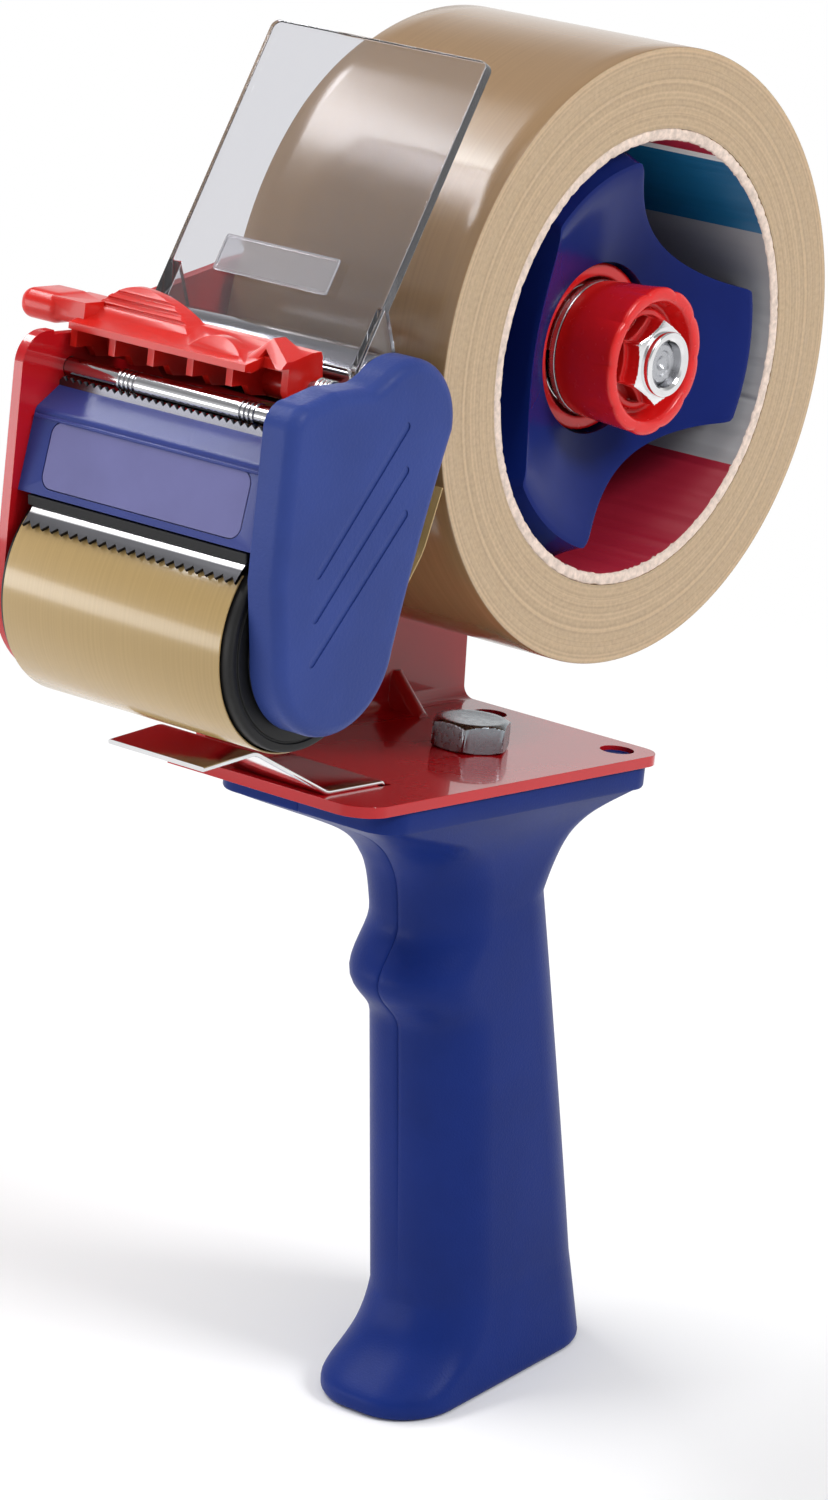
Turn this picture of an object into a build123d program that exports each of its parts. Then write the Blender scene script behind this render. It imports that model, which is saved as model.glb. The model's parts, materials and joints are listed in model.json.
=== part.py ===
from build123d import *

import os
from math import acos, atan2, cos, degrees, hypot, pi, radians, sin, sqrt, tan

# A hand-held carton tape dispenser: a pistol-grip handle carries a bent steel
# frame with a tape roll on a braked hub, a rubber applicator roller and a
# toothed blade.
#
# The head, which is everything on the steel frame, is drawn in its own axes.
# Their origin is on the spindle at the middle of the tape: +X towards the
# applicator roller, +Y towards the open side where a roll is loaded, +Z away
# from the handle.  The head leans nose-up on the handle, which stands upright
# with the middle of its foot at the origin.  Millimetres and degrees.

# ---------------------------------------------------------------- stance
head_tilt = 9.4
spindle_height = 192.0
spindle_setback = 21.0

# ---------------------------------------------------------------- fits
running = 0.05              # radial clearance of a turning shaft
free_gap = 0.3              # between pieces that move past each other
bolt_gap = 0.2              # radial clearance of a bolt in its hole

# ---------------------------------------------------------------- tape
tape_width = 48.0
roll_radius = 54.25
core_bore_radius = 38.1
core_wall = 2.1
tape_sheet = 0.3
peel_angle = -20.0          # where the tape leaves the roll
run_turn = (3.4, -10.8)     # from the peel to the turn towards the roller
run_bend = 14.0

# ---------------------------------------------------------------- steel frame
sheet = 2.0
bend_radius = 2.4
plate_top = -74.5
plate_rear = -25.4
plate_front = 59.3
plate_setback = 3.0         # open edge of the plate to the roll's open face
plate_corner = 6.5
plate_rear_corner = 4.5
bend_end = 47.5             # the plate runs on past the bend
side_gap = 2.0              # roll to upright
upright_front = 103.0
upright_corner = 5.5
spindle_eye = 20.0          # round top of the upright about the spindle
saddle_floor = 0.9          # notch in the top edge for the lever's neck
saddle_front = 96.0
peg_hole_radius = 3.1
peg_x = -19.2
peg_y = 14.7
gusset_x = -5.0             # pressed rib across the bend
gusset_reach = 5.5
gusset_radius = 1.7

# ---------------------------------------------------------------- spindle, hub, brake
spindle_radius = 4.0
hub_play = 0.3
hub_rim_radius = 34.6
hub_lead = 6.0              # length of the lead-in taper
hub_phase = 3.5
hub_recess = 1.4            # hub rim below the roll's open face
hub_flange_radius = 43.0
hub_lip = 1.6               # flat rim round the dish
hub_post_radius = 17.0
scallop_centre = 74.3
scallop_radius = 52.6
dish_slope = 0.44
cup_radius = 14.8
cup_wall = 1.5
cup_depth = 8.0
cup_sink = 1.8              # cup flange below the bottom of the dish
cup_step = 1.0              # overhang of the cup's flange
cup_gap = 0.1
flange_gap = 0.4            # hub flange to upright
spring_wire = 1.5
spring_turns = 4.0
washer_thickness = 1.2
knob_gap = 1.3              # knob to cup flange, taken up as the brake tightens
knob_radius = 12.7
knob_depth = 13.0
knob_draft = 4.0
knob_lobes = 10
knob_lobe_height = 0.7
knob_rim = 2.2
knob_well = 4.0
knob_boss = 1.4             # ring round the nut's seat
nut_flats = 13.0
nut_height = 6.5
nut_gap = 0.8
bolt_head_height = 5.3

# ---------------------------------------------------------------- applicator roller
roller_x = 85.6
roller_z = -41.1
roller_radius = 18.9
roller_overhang = 2.0       # tyre beyond the roll's open face
roller_side_gap = 0.7       # tyre to upright
tyre_wall = 4.4
tyre_edge = 0.8
core_rim_wall = 2.6
axle_radius = 4.0
bush_length = 8.0
bush_wall = 2.0
axle_head_radius = 6.5
axle_head_height = 2.4

# ---------------------------------------------------------------- guide roller and flap
guide_x = 70.0
guide_z = -1.5
guide_radius = 6.5
guide_wall = 1.2
guide_pin_radius = 2.5
guide_head_radius = 4.5
guide_head_height = 1.8
guide_bush_length = 5.0
flap_lean = 27.6            # from upright, towards the roll
flap_foot = 0.4             # bottom edge above the hinge axis, along the flap
flap_length = 56.6
flap_corner = 1.6
flap_thickness = 2.0
flap_width = 47.0
flap_ear_radius = 4.8
flap_ear_width = 2.0

# ---------------------------------------------------------------- lever
lever_pin_x = 82.0
lever_pin_z = -0.8
lever_pin_radius = 1.5
lever_head_radius = 2.9
lever_head_height = 1.2
lever_barrel_radius = 2.8
lever_behind = 1.6          # plate behind the pin
lever_reach = 11.2          # plate ahead of the pin
lever_top = 5.4
lever_skin = 1.5
lever_near = 19.0
lever_fall = 2.4            # front edge of the plate below its top
lever_lip = 1.2             # depth of the plate's front lip
lever_ribs = 6
rib_wall = 1.4
rib_front = (6.6, -0.4)     # rib corners from the pin
rib_low = (5.2, -2.2)
rib_rear = (0.4, -2.6)
barrel_length = 9.0
paw_middle = (4.6, 4.7)     # from the pin
paw_reach = 10.2
paw_height = 5.2
paw_far = 39.0
paw_near = 29.6
neck_reach = 9.2
neck_height = 3.8
fin_far = -26.0
fin_peak = -18.5
fin_near = -3.5
fin_height = 4.0            # above the plate
fin_inset = 1.2             # rear edge of the plate to the fin
fin_back = 0.9
fin_crown = 1.5
fin_skirt = 4.2
fin_grooves = 3
fin_groove_radius = 0.4
fin_groove_first = 0.26     # share of the way down the skirt
fin_groove_step = 0.2
crest_far = -1.0
crest_peak = 4.0
crest_near = 11.0
crest_height = 1.6
crest_inset = 1.6           # front edge of the plate to the crest
crest_length = 4.4
crest_crown = 1.2
lug_far = 10.4
lug_peak = 13.4
lug_height = 1.6
lug_fall = 2.8
lug_inset = 2.2
lug_length = 8.0
lug_wall = 1.2              # the lug is open at the front
lug_back_wall = 2.5
corner_cut = (4.6, 5.5)     # front corner of the plate, cut away beside the lug
rod_x = 91.2
rod_z = -4.9
rod_radius = 2.0
rod_neck_radius = 1.7
rod_grooves = 4
rod_groove = 0.5
rod_far_grooves = -14.0     # where each group of grooves starts
rod_near_grooves = 12.5
coil_wire = 0.7

# ---------------------------------------------------------------- guard, blade, cover
guard_wall = 1.4
guard_rear = (93.6, -7.8)
guard_brow = (98.9, -11.2)
guard_foot = (101.5, -25.0)
guard_end_wall = 1.8
guard_end_drop = 9.2        # rear edge of the end plate below the wall's
guard_heel = (4.2, 4.5)     # foot of the end plate, cut back and up
guard_corner = 1.4
panel_length = 44.0
panel_height = 11.6
panel_sink = 0.5
strip_sheet = 0.8
strip_height = 3.2
strip_teeth = 34
blade_sheet = 0.6
blade_angle = 38.0          # where the blade's leaf stands on the roller
blade_leaf = 4.3
blade_root = 10.0
blade_rake = 65.0           # root of the blade from level
blade_length = 47.0
blade_shift = 0.5           # middle of the blade towards the open side
blade_gap = 0.7             # end of the blade to the guard's end wall
blade_teeth = 22
tooth_depth = 1.1
holder_drop = 2.3
cover_gap = 0.5
cover_depth = 6.8
cover_wall = 2.0
cover_edge = 2.4
cover_foot_radius = 15.0
cover_hump = (72.7, -5.5)
cover_hump_radius = 11.7
cover_back = (66.0, -23.0)
cover_step = 83.2
cover_brow = 2.0
cover_brow_front = 92.0
cover_corner = 4.5
cover_corner_drop = 1.6
cover_boss = 2.0
groove_high = (74.4, -4.8)
groove_low = (93.2, -27.7)
groove_pitch = 7.4
groove_count = 3
groove_width = 1.5
groove_depth = 0.6
screw_radius = 1.5
screw_head_radius = 2.9
screw_head_height = 1.5

# ---------------------------------------------------------------- spring clip
clip_width = 21.5
clip_sheet = 0.8
clip_tip_x = 90.1
clip_crest_x = 77.0
clip_tip_rise = 0.61        # shares of the room between plate and roller
clip_crest_rise = 0.7
clip_bend = 4.5
clip_toe_x = 57.0
clip_slot_x = 41.8
clip_hem = 9.5

# ---------------------------------------------------------------- handle
foot_width = 28.0
foot_round = 1.5
grip_front = 16.1
grip_rear_low = 26.7
grip_rear_high = 16.9
grip_rear_curve = 1.15      # above 1 the rear line is hollow near the foot
grip_top = 92.0
grip_width = 25.6
grip_corner = 11.6
toe_length = 12.8
toe_height = 18.0
toe_belly = 2.4             # height where the toe reaches furthest
toe_half = 0.36             # share of the height where the toe has lost half its length
toe_fall = 2.2
stop_height = 81.2          # finger stop on the front
stop_half = 10.0
stop_reach = 5.6
flare_low = (0.4, 0.14, 0.31, -0.29)     # shares of the way from the neck to the rim, in
flare_high = (0.68, 0.43, 0.69, -0.14)   # height, size, lean and place of the middle
flange_thickness = 4.2
flange_front = 51.5
flange_overhang = 0.6
flange_corner = 6.0
flange_rear_gap = 0.8       # rear edge of the plate to the flange
flange_draft = 0.8
handle_bolt_x = 5.0
handle_bolt_radius = 4.0
handle_bolt_length = 45.0
handle_nut_depth = 36.0     # top of the nut below the plate

# ---------------------------------------------------------------- derived places
half_tape = tape_width / 2
blade_far = blade_shift - blade_length / 2
blade_near = blade_shift + blade_length / 2
blade_room = blade_gap + guard_end_wall
upright_inner = min(-half_tape - side_gap, blade_far - blade_room)
upright_outer = upright_inner - sheet
plate_near = half_tape - plate_setback
plate_under = plate_top - sheet
tyre_far = upright_inner + roller_side_gap
tyre_near = half_tape + roller_overhang
cover_rim = max(tyre_near + cover_gap, blade_near + blade_room)
cover_face = cover_rim + cover_depth
cover_inside = cover_face - cover_wall
core_radius = core_bore_radius + core_wall
hub_radius = core_bore_radius - hub_play
hub_rim = half_tape - hub_recess
cup_face = hub_rim - dish_slope * (hub_rim_radius - hub_post_radius) - cup_sink
cup_inner = cup_radius - cup_wall - cup_step
nut_room = nut_flats / sqrt(3) + nut_gap
nut_pocket = upright_inner + nut_height + nut_gap
spring_radius = cup_inner - free_gap - spring_wire
knob_far = cup_face + knob_gap
spring_seat = cup_face - cup_depth
spring_top = knob_far - washer_thickness
tape_inner = roller_radius + free_gap
tape_outer = tape_inner + tape_sheet
spindle_axis = (0.0, 0.0)
roller_axis = (roller_x, roller_z)
guide_axis = (guide_x, guide_z)
lever_axis = (lever_pin_x, lever_pin_z)
lever_rear = lever_pin_x - lever_behind
lever_front = lever_pin_x + lever_reach
fin_rear = lever_rear + fin_inset
fin_ridge = fin_rear + fin_back + fin_crown
fin_toe = fin_ridge + fin_skirt
crest_front = lever_front - crest_inset
crest_rear = crest_front - crest_length
lug_rear = lever_rear + lug_inset
lug_front = lug_rear + lug_length
hub_bore = cup_inner + cup_wall + cup_gap
rod_axis = (rod_x, rod_z)
head = Location((-spindle_setback, 0, spindle_height), (0, -head_tilt, 0))


# ---------------------------------------------------------------- helpers
def side(y):
    """Plane of a side view at y: its x is head X and its y is head Z."""
    return Plane(origin=(0, y, 0), x_dir=(1, 0, 0), z_dir=(0, -1, 0))


def front(x):
    """Plane of a front view at x: its x is head Y and its y is head Z."""
    return Plane(origin=(x, 0, 0), x_dir=(0, 1, 0), z_dir=(1, 0, 0))


def slab(face, y_from, y_to):
    """A side-view face given thickness from y_from to y_to."""
    return extrude(side(y_from) * face, y_from - y_to)


def disc(centre, radius):
    return Pos(*centre) * Circle(radius)


def bar(centre, radius, y_from, y_to):
    """Round bar along Y."""
    return slab(disc(centre, radius), y_from, y_to)


def turned(points, centre=(0.0, 0.0)):
    """Solid of revolution about a Y axis from (radius, y) points."""
    section = make_face(Polyline(*[(r, y) for r, y in points], close=True))
    return Pos(centre[0], 0, centre[1]) * revolve(section, Axis.Y, 360)


def polar(centre, radius, angle):
    a = radians(angle)
    return (centre[0] + radius * cos(a), centre[1] + radius * sin(a))


def angle_of(centre, point):
    return degrees(atan2(point[1] - centre[1], point[0] - centre[0]))


def touch_point(centre, radius, point, hand):
    """Where a line from the point touches the circle; hand is +1 or -1."""
    distance = hypot(point[0] - centre[0], point[1] - centre[1])
    swing = degrees(acos(radius / distance))
    return polar(centre, radius, angle_of(centre, point) + hand * swing)


def mitred(points, shift):
    """The polyline moved sideways, to the left of its direction if positive."""
    normals = []
    for a, b in zip(points, points[1:]):
        length = hypot(b[0] - a[0], b[1] - a[1])
        normals.append(((a[1] - b[1]) / length, (b[0] - a[0]) / length))
    moved = [(points[0][0] + shift * normals[0][0], points[0][1] + shift * normals[0][1])]
    for point, n, m in zip(points[1:], normals, normals[1:]):
        scale = shift / (1 + n[0] * m[0] + n[1] * m[1])
        moved.append((point[0] + scale * (n[0] + m[0]), point[1] + scale * (n[1] + m[1])))
    last = points[-1]
    moved.append((last[0] + shift * normals[-1][0], last[1] + shift * normals[-1][1]))
    return moved


def strip(points, thickness, radius):
    """Side-view face of a bent strip about its centre line."""
    return trace(FilletPolyline(*points, radius=radius), line_width=thickness)


def polygon(points):
    return make_face(Polyline(*points, close=True))


def hexagon(flats, centre, y_from, y_to):
    """Hexagon bar along Y, its corners turned off at the y_to end."""
    corner = flats / sqrt(3)
    sense = 1 if y_to > y_from else -1
    step = sense * (corner - flats / 2) * 0.6
    prism = slab(Pos(*centre) * RegularPolygon(corner, 6), y_from, y_to)
    cone = turned([(0, y_from), (corner, y_from), (corner, y_to - step),
                   (flats / 2 - 0.3, y_to), (0, y_to)], centre)
    return prism & cone


def along(axis_point, shape):
    """Turns a piece drawn along Y so that it stands along head Z at the point."""
    return Pos(*axis_point) * (Rot(90, 0, 0) * shape)


def coil(radius, wire, pitch, height, start, centre):
    """Helical wire along +Y from start."""
    path = Helix(pitch=pitch, height=height, radius=radius)
    ring = Plane(origin=path @ 0, z_dir=path % 0) * Circle(wire / 2)
    wound = sweep(ring, path=path)
    return Pos(centre[0], start, centre[1]) * (Rot(-90, 0, 0) * wound)


def save(name, shape, place=head):
    placed = place * shape
    solids = placed.solids()
    body = solids[0] if len(solids) == 1 else Compound(children=list(solids))
    export_step(body, "parts/" + name + ".step")
    print(name, len(solids), "solid(s)", round(sum(s.volume for s in solids), 1))


# ---------------------------------------------------------------- steel frame
def upright_face():
    """Upright plate in side view, from the top of the bend."""
    low = plate_top + bend_radius
    rear_low = (plate_rear, low)
    rear_touch = touch_point(spindle_axis, spindle_eye, rear_low, -1)
    saddle_rear = (lever_rear - 1.4, lever_top - 0.2)
    top_touch = touch_point(spindle_axis, spindle_eye, saddle_rear, 1)
    brow = (upright_front - upright_corner, cover_brow - 0.4)
    nose_radius = upright_front - roller_x
    relief = (bend_end, low)
    nose_touch = touch_point(roller_axis, nose_radius, relief, 1)
    corner_end = (upright_front, brow[1] - upright_corner)
    corner_mid = polar((brow[0], corner_end[1]), upright_corner, 45)
    edges = [
        Line(rear_low, rear_touch),
        ThreePointArc(rear_touch, polar(spindle_axis, spindle_eye, 130), top_touch),
        Polyline(top_touch, saddle_rear, (saddle_rear[0], saddle_floor),
                 (saddle_front, saddle_floor), (saddle_front, brow[1]), brow),
        ThreePointArc(brow, corner_mid, corner_end),
        Line(corner_end, (upright_front, roller_z)),
        ThreePointArc((upright_front, roller_z), polar(roller_axis, nose_radius, -35), nose_touch),
        Line(nose_touch, relief),
        Line(relief, rear_low),
    ]
    return make_face(Curve() + edges)


def bent_edge():
    """Plate, bend and the foot of the upright, as one profile along X."""
    outer = Pos((upright_outer + plate_near) / 2, (plate_under + plate_top + bend_radius) / 2) * \
        Rectangle(plate_near - upright_outer, bend_radius + sheet)
    corner = outer.vertices().sort_by(Axis.X)[:2].sort_by(Axis.Y)[0]
    outer = fillet(corner, bend_radius + sheet)
    inner = Pos((upright_inner + plate_near + 1) / 2, plate_top + bend_radius) * \
        Rectangle(plate_near + 1 - upright_inner, 2 * bend_radius)
    corner = inner.vertices().sort_by(Axis.X)[:2].sort_by(Axis.Y)[0]
    inner = fillet(corner, bend_radius)
    profile = Plane(origin=(plate_rear, 0, 0), x_dir=(0, 1, 0), z_dir=(1, 0, 0)) * (outer - inner)
    return extrude(profile, bend_end - plate_rear)


def gusset():
    """Rib pressed across the inside of the bend to stiffen it."""
    corner = (upright_inner, plate_top)
    web = polygon([corner, (corner[0] + gusset_reach, corner[1]), (corner[0], corner[1] + gusset_reach)])
    web = extrude(front(gusset_x - gusset_radius) * web, 2 * gusset_radius)
    crown = Pos(gusset_x, corner[0] + gusset_reach / 2, corner[1] + gusset_reach / 2) * \
        (Rot(45, 0, 0) * Cylinder(gusset_radius, 3 * gusset_reach))
    room = Box(4 * gusset_radius, gusset_reach + gusset_radius, gusset_reach + gusset_radius,
               align=(Align.CENTER, Align.MIN, Align.MIN))
    return web + (crown & (Pos(gusset_x, *corner) * room))


def steel_frame():
    upright = slab(upright_face(), upright_inner, upright_outer)
    tongue_far = upright_inner + bend_radius
    tongue = Pos((bend_end + plate_front) / 2, (tongue_far + plate_near) / 2,
                 plate_top - sheet / 2) * Box(plate_front - bend_end, plate_near - tongue_far, sheet)
    frame = upright + bent_edge() + tongue + gusset()
    near_edges = frame.edges().filter_by(Axis.Z).group_by(Axis.Y)[-1].sort_by(Axis.X)
    frame = fillet(near_edges[-1], plate_corner)
    near_edges = frame.edges().filter_by(Axis.Z).group_by(Axis.Y)[-1].sort_by(Axis.X)
    frame = fillet(near_edges[0], plate_rear_corner)
    for axis, radius in ((spindle_axis, spindle_radius), (roller_axis, axle_radius),
                         (guide_axis, guide_pin_radius), (lever_axis, lever_pin_radius),
                         (rod_axis, rod_neck_radius)):
        frame -= bar(axis, radius + running, upright_inner + 1, upright_outer - 1)
    for spot in guard_screw_spots():
        frame -= bar(spot, screw_radius + running, upright_inner + 1, upright_outer - 1)
    depth = 4 * sheet
    frame -= Pos(handle_bolt_x, 0, plate_top) * Cylinder(handle_bolt_radius + bolt_gap, depth)
    for y in (-peg_y, peg_y):
        frame -= Pos(peg_x, y, plate_top) * Cylinder(peg_hole_radius, depth)
    frame -= Pos(clip_slot_x, 0, plate_top) * Box(clip_sheet * 3.6, clip_width + 1, depth)
    return frame


# ---------------------------------------------------------------- hub, core and tape
def hub_outline():
    outline = Circle(hub_radius)
    for lobe in range(3):
        centre = polar(spindle_axis, scallop_centre, hub_phase + 120 * lobe)
        outline -= disc(centre, scallop_radius)
    return outline


def hub():
    """Three-lobed hub with a dished face and a seat for the brake cup."""
    far = -half_tape
    body = slab(hub_outline(), far, hub_rim)
    lead = turned([(0, far), (hub_radius, far), (hub_radius, hub_rim - hub_lead),
                   (hub_rim_radius, hub_rim), (0, hub_rim)])
    dish_radius = hub_rim_radius - hub_lip
    dish = turned([(0, hub_rim + 1), (dish_radius, hub_rim + 1), (dish_radius, hub_rim),
                   (0, hub_rim - dish_slope * hub_rim_radius)])
    body = (body & lead) - dish
    body -= bar(spindle_axis, cup_radius + free_gap, cup_face - cup_wall, hub_rim)
    return body - bar(spindle_axis, hub_bore, far, hub_rim)


def hub_bearing():
    """Plug pressed into the hub that turns on the bolt, with room for the nut."""
    floor = spring_seat - cup_wall
    plug = slab(Circle(hub_bore) - Circle(spindle_radius + running), -half_tape, floor)
    return plug - bar(spindle_axis, nut_room, -half_tape, nut_pocket)


def hub_flange():
    """Disc behind the hub that keeps the tape off the upright."""
    ring = Circle(hub_flange_radius) - Circle(nut_room)
    return slab(ring, upright_inner + flange_gap, -half_tape)


def paper_core():
    return slab(Circle(core_radius) - Circle(core_bore_radius), -half_tape, half_tape)


def tape_roll():
    return slab(Circle(roll_radius) - Circle(core_radius), -half_tape, half_tape)


def tape_run():
    """Tape from the roll, under the applicator roller and up to the blade."""
    radius = tape_inner + tape_sheet / 2
    start = polar(spindle_axis, roll_radius + free_gap + tape_sheet / 2, peel_angle)
    turn = (start[0] + run_turn[0], start[1] + run_turn[1])
    touch = touch_point(roller_axis, radius, turn, 1)
    touch_angle = angle_of(roller_axis, touch) % 360
    wrap = blade_angle + 360 - touch_angle
    free = FilletPolyline(start, turn, touch, radius=run_bend)
    wound = CenterArc(roller_axis, radius, touch_angle, wrap)
    return slab(trace(free + wound, line_width=tape_sheet), -half_tape, half_tape)


# ---------------------------------------------------------------- spindle and brake
def spindle_bolt():
    tip = knob_far + knob_depth + 1.4
    shank = turned([(0, upright_outer), (spindle_radius, upright_outer), (spindle_radius, tip - 1),
                    (spindle_radius - 1, tip), (1.2, tip), (0, tip - 0.9)])
    return shank + hexagon(nut_flats, spindle_axis, upright_outer, upright_outer - bolt_head_height)


def spindle_nut():
    nut = hexagon(nut_flats, spindle_axis, upright_inner, upright_inner + nut_height)
    return nut - bar(spindle_axis, spindle_radius, upright_inner - 1, upright_inner + nut_height + 1)


def brake_cup():
    floor = spring_seat - cup_wall
    bore = spindle_radius + running
    return turned([(bore, floor), (cup_inner + cup_wall, floor),
                   (cup_inner + cup_wall, cup_face - cup_wall), (cup_radius, cup_face - cup_wall),
                   (cup_radius, cup_face), (cup_inner, cup_face), (cup_inner, spring_seat),
                   (bore, spring_seat)])


def brake_spring():
    height = spring_top - spring_seat - spring_wire - 0.2
    return coil(spring_radius, spring_wire, height / spring_turns, height,
                spring_seat + spring_wire / 2 + 0.1, spindle_axis)


def brake_washer():
    ring = Circle(cup_inner - free_gap) - Circle(spindle_radius + running)
    return slab(ring, spring_top, knob_far)


def knob_outline(radius):
    """Rounded lobes: each is an arc that bulges out between two valleys."""
    step = 360 / knob_lobes
    arcs = []
    for lobe in range(knob_lobes):
        start = lobe * step
        arcs.append(ThreePointArc(polar(spindle_axis, radius - knob_lobe_height, start),
                                  polar(spindle_axis, radius, start + step / 2),
                                  polar(spindle_axis, radius - knob_lobe_height, start + step)))
    return make_face(Curve() + arcs)


def brake_knob():
    near = knob_far + knob_depth
    slim = knob_depth * tan(radians(knob_draft))
    far_face = side(knob_far) * knob_outline(knob_radius - slim / 2)
    near_face = side(near) * knob_outline(knob_radius + slim / 2)
    knob = loft([far_face, near_face])
    well = knob_radius + slim / 2 - knob_lobe_height - knob_rim
    floor = near - knob_well
    knob -= bar(spindle_axis, well, floor, near + 1)
    knob += bar(spindle_axis, nut_flats / sqrt(3) + knob_boss, floor, floor + 1)
    knob -= slab(RegularPolygon(nut_flats / sqrt(3) + 0.1, 6), floor - 1, near + 1)
    return knob - bar(spindle_axis, spindle_radius + running, knob_far - 1, near + 1)


def brake_nut():
    """Locking nut: a hexagon with the round collar of its insert."""
    seat = knob_far + knob_depth - knob_well - 1
    nut = hexagon(nut_flats, spindle_axis, seat, seat + nut_height)
    nut += bar(spindle_axis, nut_flats / 2 - 0.7, seat + nut_height, seat + nut_height + 1.4)
    return nut - bar(spindle_axis, spindle_radius + running, seat - 1, seat + nut_height + 2)


# ---------------------------------------------------------------- applicator roller
def roller_tyre():
    inner = roller_radius - tyre_wall
    return turned([(inner, tyre_far), (roller_radius - tyre_edge, tyre_far),
                   (roller_radius, tyre_far + tyre_edge), (roller_radius, tyre_near - tyre_edge),
                   (roller_radius - tyre_edge, tyre_near), (inner, tyre_near)], roller_axis)


def roller_core():
    rim = roller_radius - tyre_wall
    socket = axle_radius + running + bush_wall
    boss = socket + 2.2
    web = 3.0
    far = tyre_far + 0.2
    near = tyre_near - 0.2
    core = tube_section(rim, rim - core_rim_wall, far, near) + tube_section(boss, socket, far, near)
    for y in (far + bush_length, near - bush_length - web):
        core += tube_section(rim - core_rim_wall, boss, y, y + web)
    return core


def tube_section(outer, inner, y_from, y_to, centre=None):
    centre = roller_axis if centre is None else centre
    return slab(disc(centre, outer) - disc(centre, inner), y_from, y_to)


def roller_bushes():
    far = tyre_far + 0.2
    near = tyre_near - 0.2
    socket = axle_radius + running + bush_wall
    bushes = [tube_section(socket, axle_radius + running, far, far + bush_length),
              tube_section(socket, axle_radius + running, near - bush_length, near)]
    return Compound(children=[b.solid() for b in bushes])


def headed_pin(axis, radius, head_radius, head_height, near):
    """Pin riveted to the upright: its head bears on the outer face."""
    crown = head_height * 0.4
    return turned([(0, upright_outer - head_height), (head_radius - crown, upright_outer - head_height),
                   (head_radius, upright_outer - head_height + crown), (head_radius, upright_outer),
                   (radius, upright_outer), (radius, near - 0.4), (radius - 0.4, near), (0, near)], axis)


# ---------------------------------------------------------------- guide roller and flap
def guide_span():
    far = -half_tape + 1 + flap_ear_width + free_gap
    near = -half_tape + 1 + flap_width - flap_ear_width - free_gap
    return far, near


def guide_roller():
    """Steel tube with a plain bush pressed into each end."""
    far, near = guide_span()
    bore = guide_pin_radius + running
    tube = tube_section(guide_radius, guide_radius - guide_wall, far, near, guide_axis)
    for y in (far, near - guide_bush_length):
        tube += tube_section(guide_radius - guide_wall, bore, y, y + guide_bush_length, guide_axis)
    return tube


def flap_frame():
    """Flap axes in side view: up along the flap, and out of its front face."""
    up = (-sin(radians(flap_lean)), cos(radians(flap_lean)))
    out = (cos(radians(flap_lean)), sin(radians(flap_lean)))
    return up, out


def on_flap(along_flap, off_axis):
    up, out = flap_frame()
    return (guide_x + along_flap * up[0] + off_axis * out[0],
            guide_z + along_flap * up[1] + off_axis * out[1])


def clear_flap():
    back = guide_radius + free_gap + 0.1
    front = back + flap_thickness
    far = -half_tape + 1
    near = far + flap_width
    tip = flap_foot + flap_length
    sheet_face = polygon([on_flap(flap_foot, back), on_flap(flap_foot, front),
                          on_flap(tip, front), on_flap(tip, back)])
    flap = slab(sheet_face, far, near)
    flap = fillet(flap.edges().filter_by(lambda e: abs(e.length - flap_thickness) < 0.01)
                  .group_by(Axis.Z)[-1], flap_corner)
    reach = 12.0
    ear = make_hull(disc(guide_axis, flap_ear_radius).edges()
                    + polygon([on_flap(flap_foot, back), on_flap(flap_foot, front),
                               on_flap(reach, front), on_flap(reach, back)]).edges())
    ear -= disc(guide_axis, guide_pin_radius + running)
    flap += slab(ear, far, far + flap_ear_width)
    flap += slab(ear, near - flap_ear_width, near)
    return flap


# ---------------------------------------------------------------- lever
def press_lever():
    """Thumb lever: ribbed plate with a fin, a crest, a lug and a paw at its far end."""
    far = upright_inner + free_gap + 0.2
    front_top = lever_top - lever_fall
    lip = front_top - lever_lip
    section = polygon([(lever_rear, lever_top - lever_skin), (lever_rear + 0.3, lever_top),
                       (lever_rear + 2.5, lever_top), (lever_front, front_top), (lever_front, lip),
                       (lever_front - 1.4, lip), (lever_front - 1.6, front_top - lever_skin),
                       (lever_rear + 2.5, lever_top - lever_skin)])
    lever = slab(section, far, lever_near)
    corners = [(lever_axis[0] + x, lever_axis[1] + z) for x, z in (rib_front, rib_low, rib_rear)]
    rib = polygon([(lever_rear, lever_top - 0.5), (lever_front - 0.8, front_top - 0.5),
                   (lever_front - 0.8, corners[0][1])] + corners +
                  [(lever_rear - 0.8, corners[0][1] - 0.2)])
    rib -= disc(lever_axis, lever_pin_radius + running)
    pitch = (lever_near - rib_wall - far) / (lever_ribs - 1)
    for n in range(lever_ribs):
        lever += slab(rib, far + pitch * n, far + pitch * n + rib_wall)
    barrel = disc(lever_axis, lever_barrel_radius) - disc(lever_axis, lever_pin_radius + running)
    lever += slab(barrel, far, far + barrel_length)
    lever += slab(barrel, lever_near - barrel_length, lever_near)
    lever -= Pos(lever_front, lever_near) * Box(2 * corner_cut[0], 2 * corner_cut[1], 4 * lever_top)
    return lever + thumb_fin() + lever_crest() + lever_lug() + lever_paw()


def arch(far, peak, near, base, top):
    """Front-view face under two arcs that meet level at the peak."""
    return make_face(Curve() + [
        Line((near, base), (far, base)),
        TangentArc((peak, top), (far, base), tangent=(-1, 0)),
        TangentArc((peak, top), (near, base), tangent=(1, 0))])


def thumb_fin():
    """Arched fin for the thumb: its leaning face has grooves along it."""
    base = lever_top - lever_skin
    top = lever_top + fin_height
    fin = extrude(front(fin_rear) * arch(fin_far, fin_peak, fin_near, base, top), fin_toe - fin_rear)
    lean = [(fin_rear, base), (fin_rear + fin_back, top), (fin_ridge, top), (fin_toe, base)]
    fin &= slab(polygon(lean), fin_far, fin_near)
    for n in range(fin_grooves):
        share = fin_groove_first + fin_groove_step * n
        spot = (fin_ridge + share * fin_skirt, top + share * (base - top))
        fin -= bar(spot, fin_groove_radius, fin_far, fin_near)
    return fin


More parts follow.
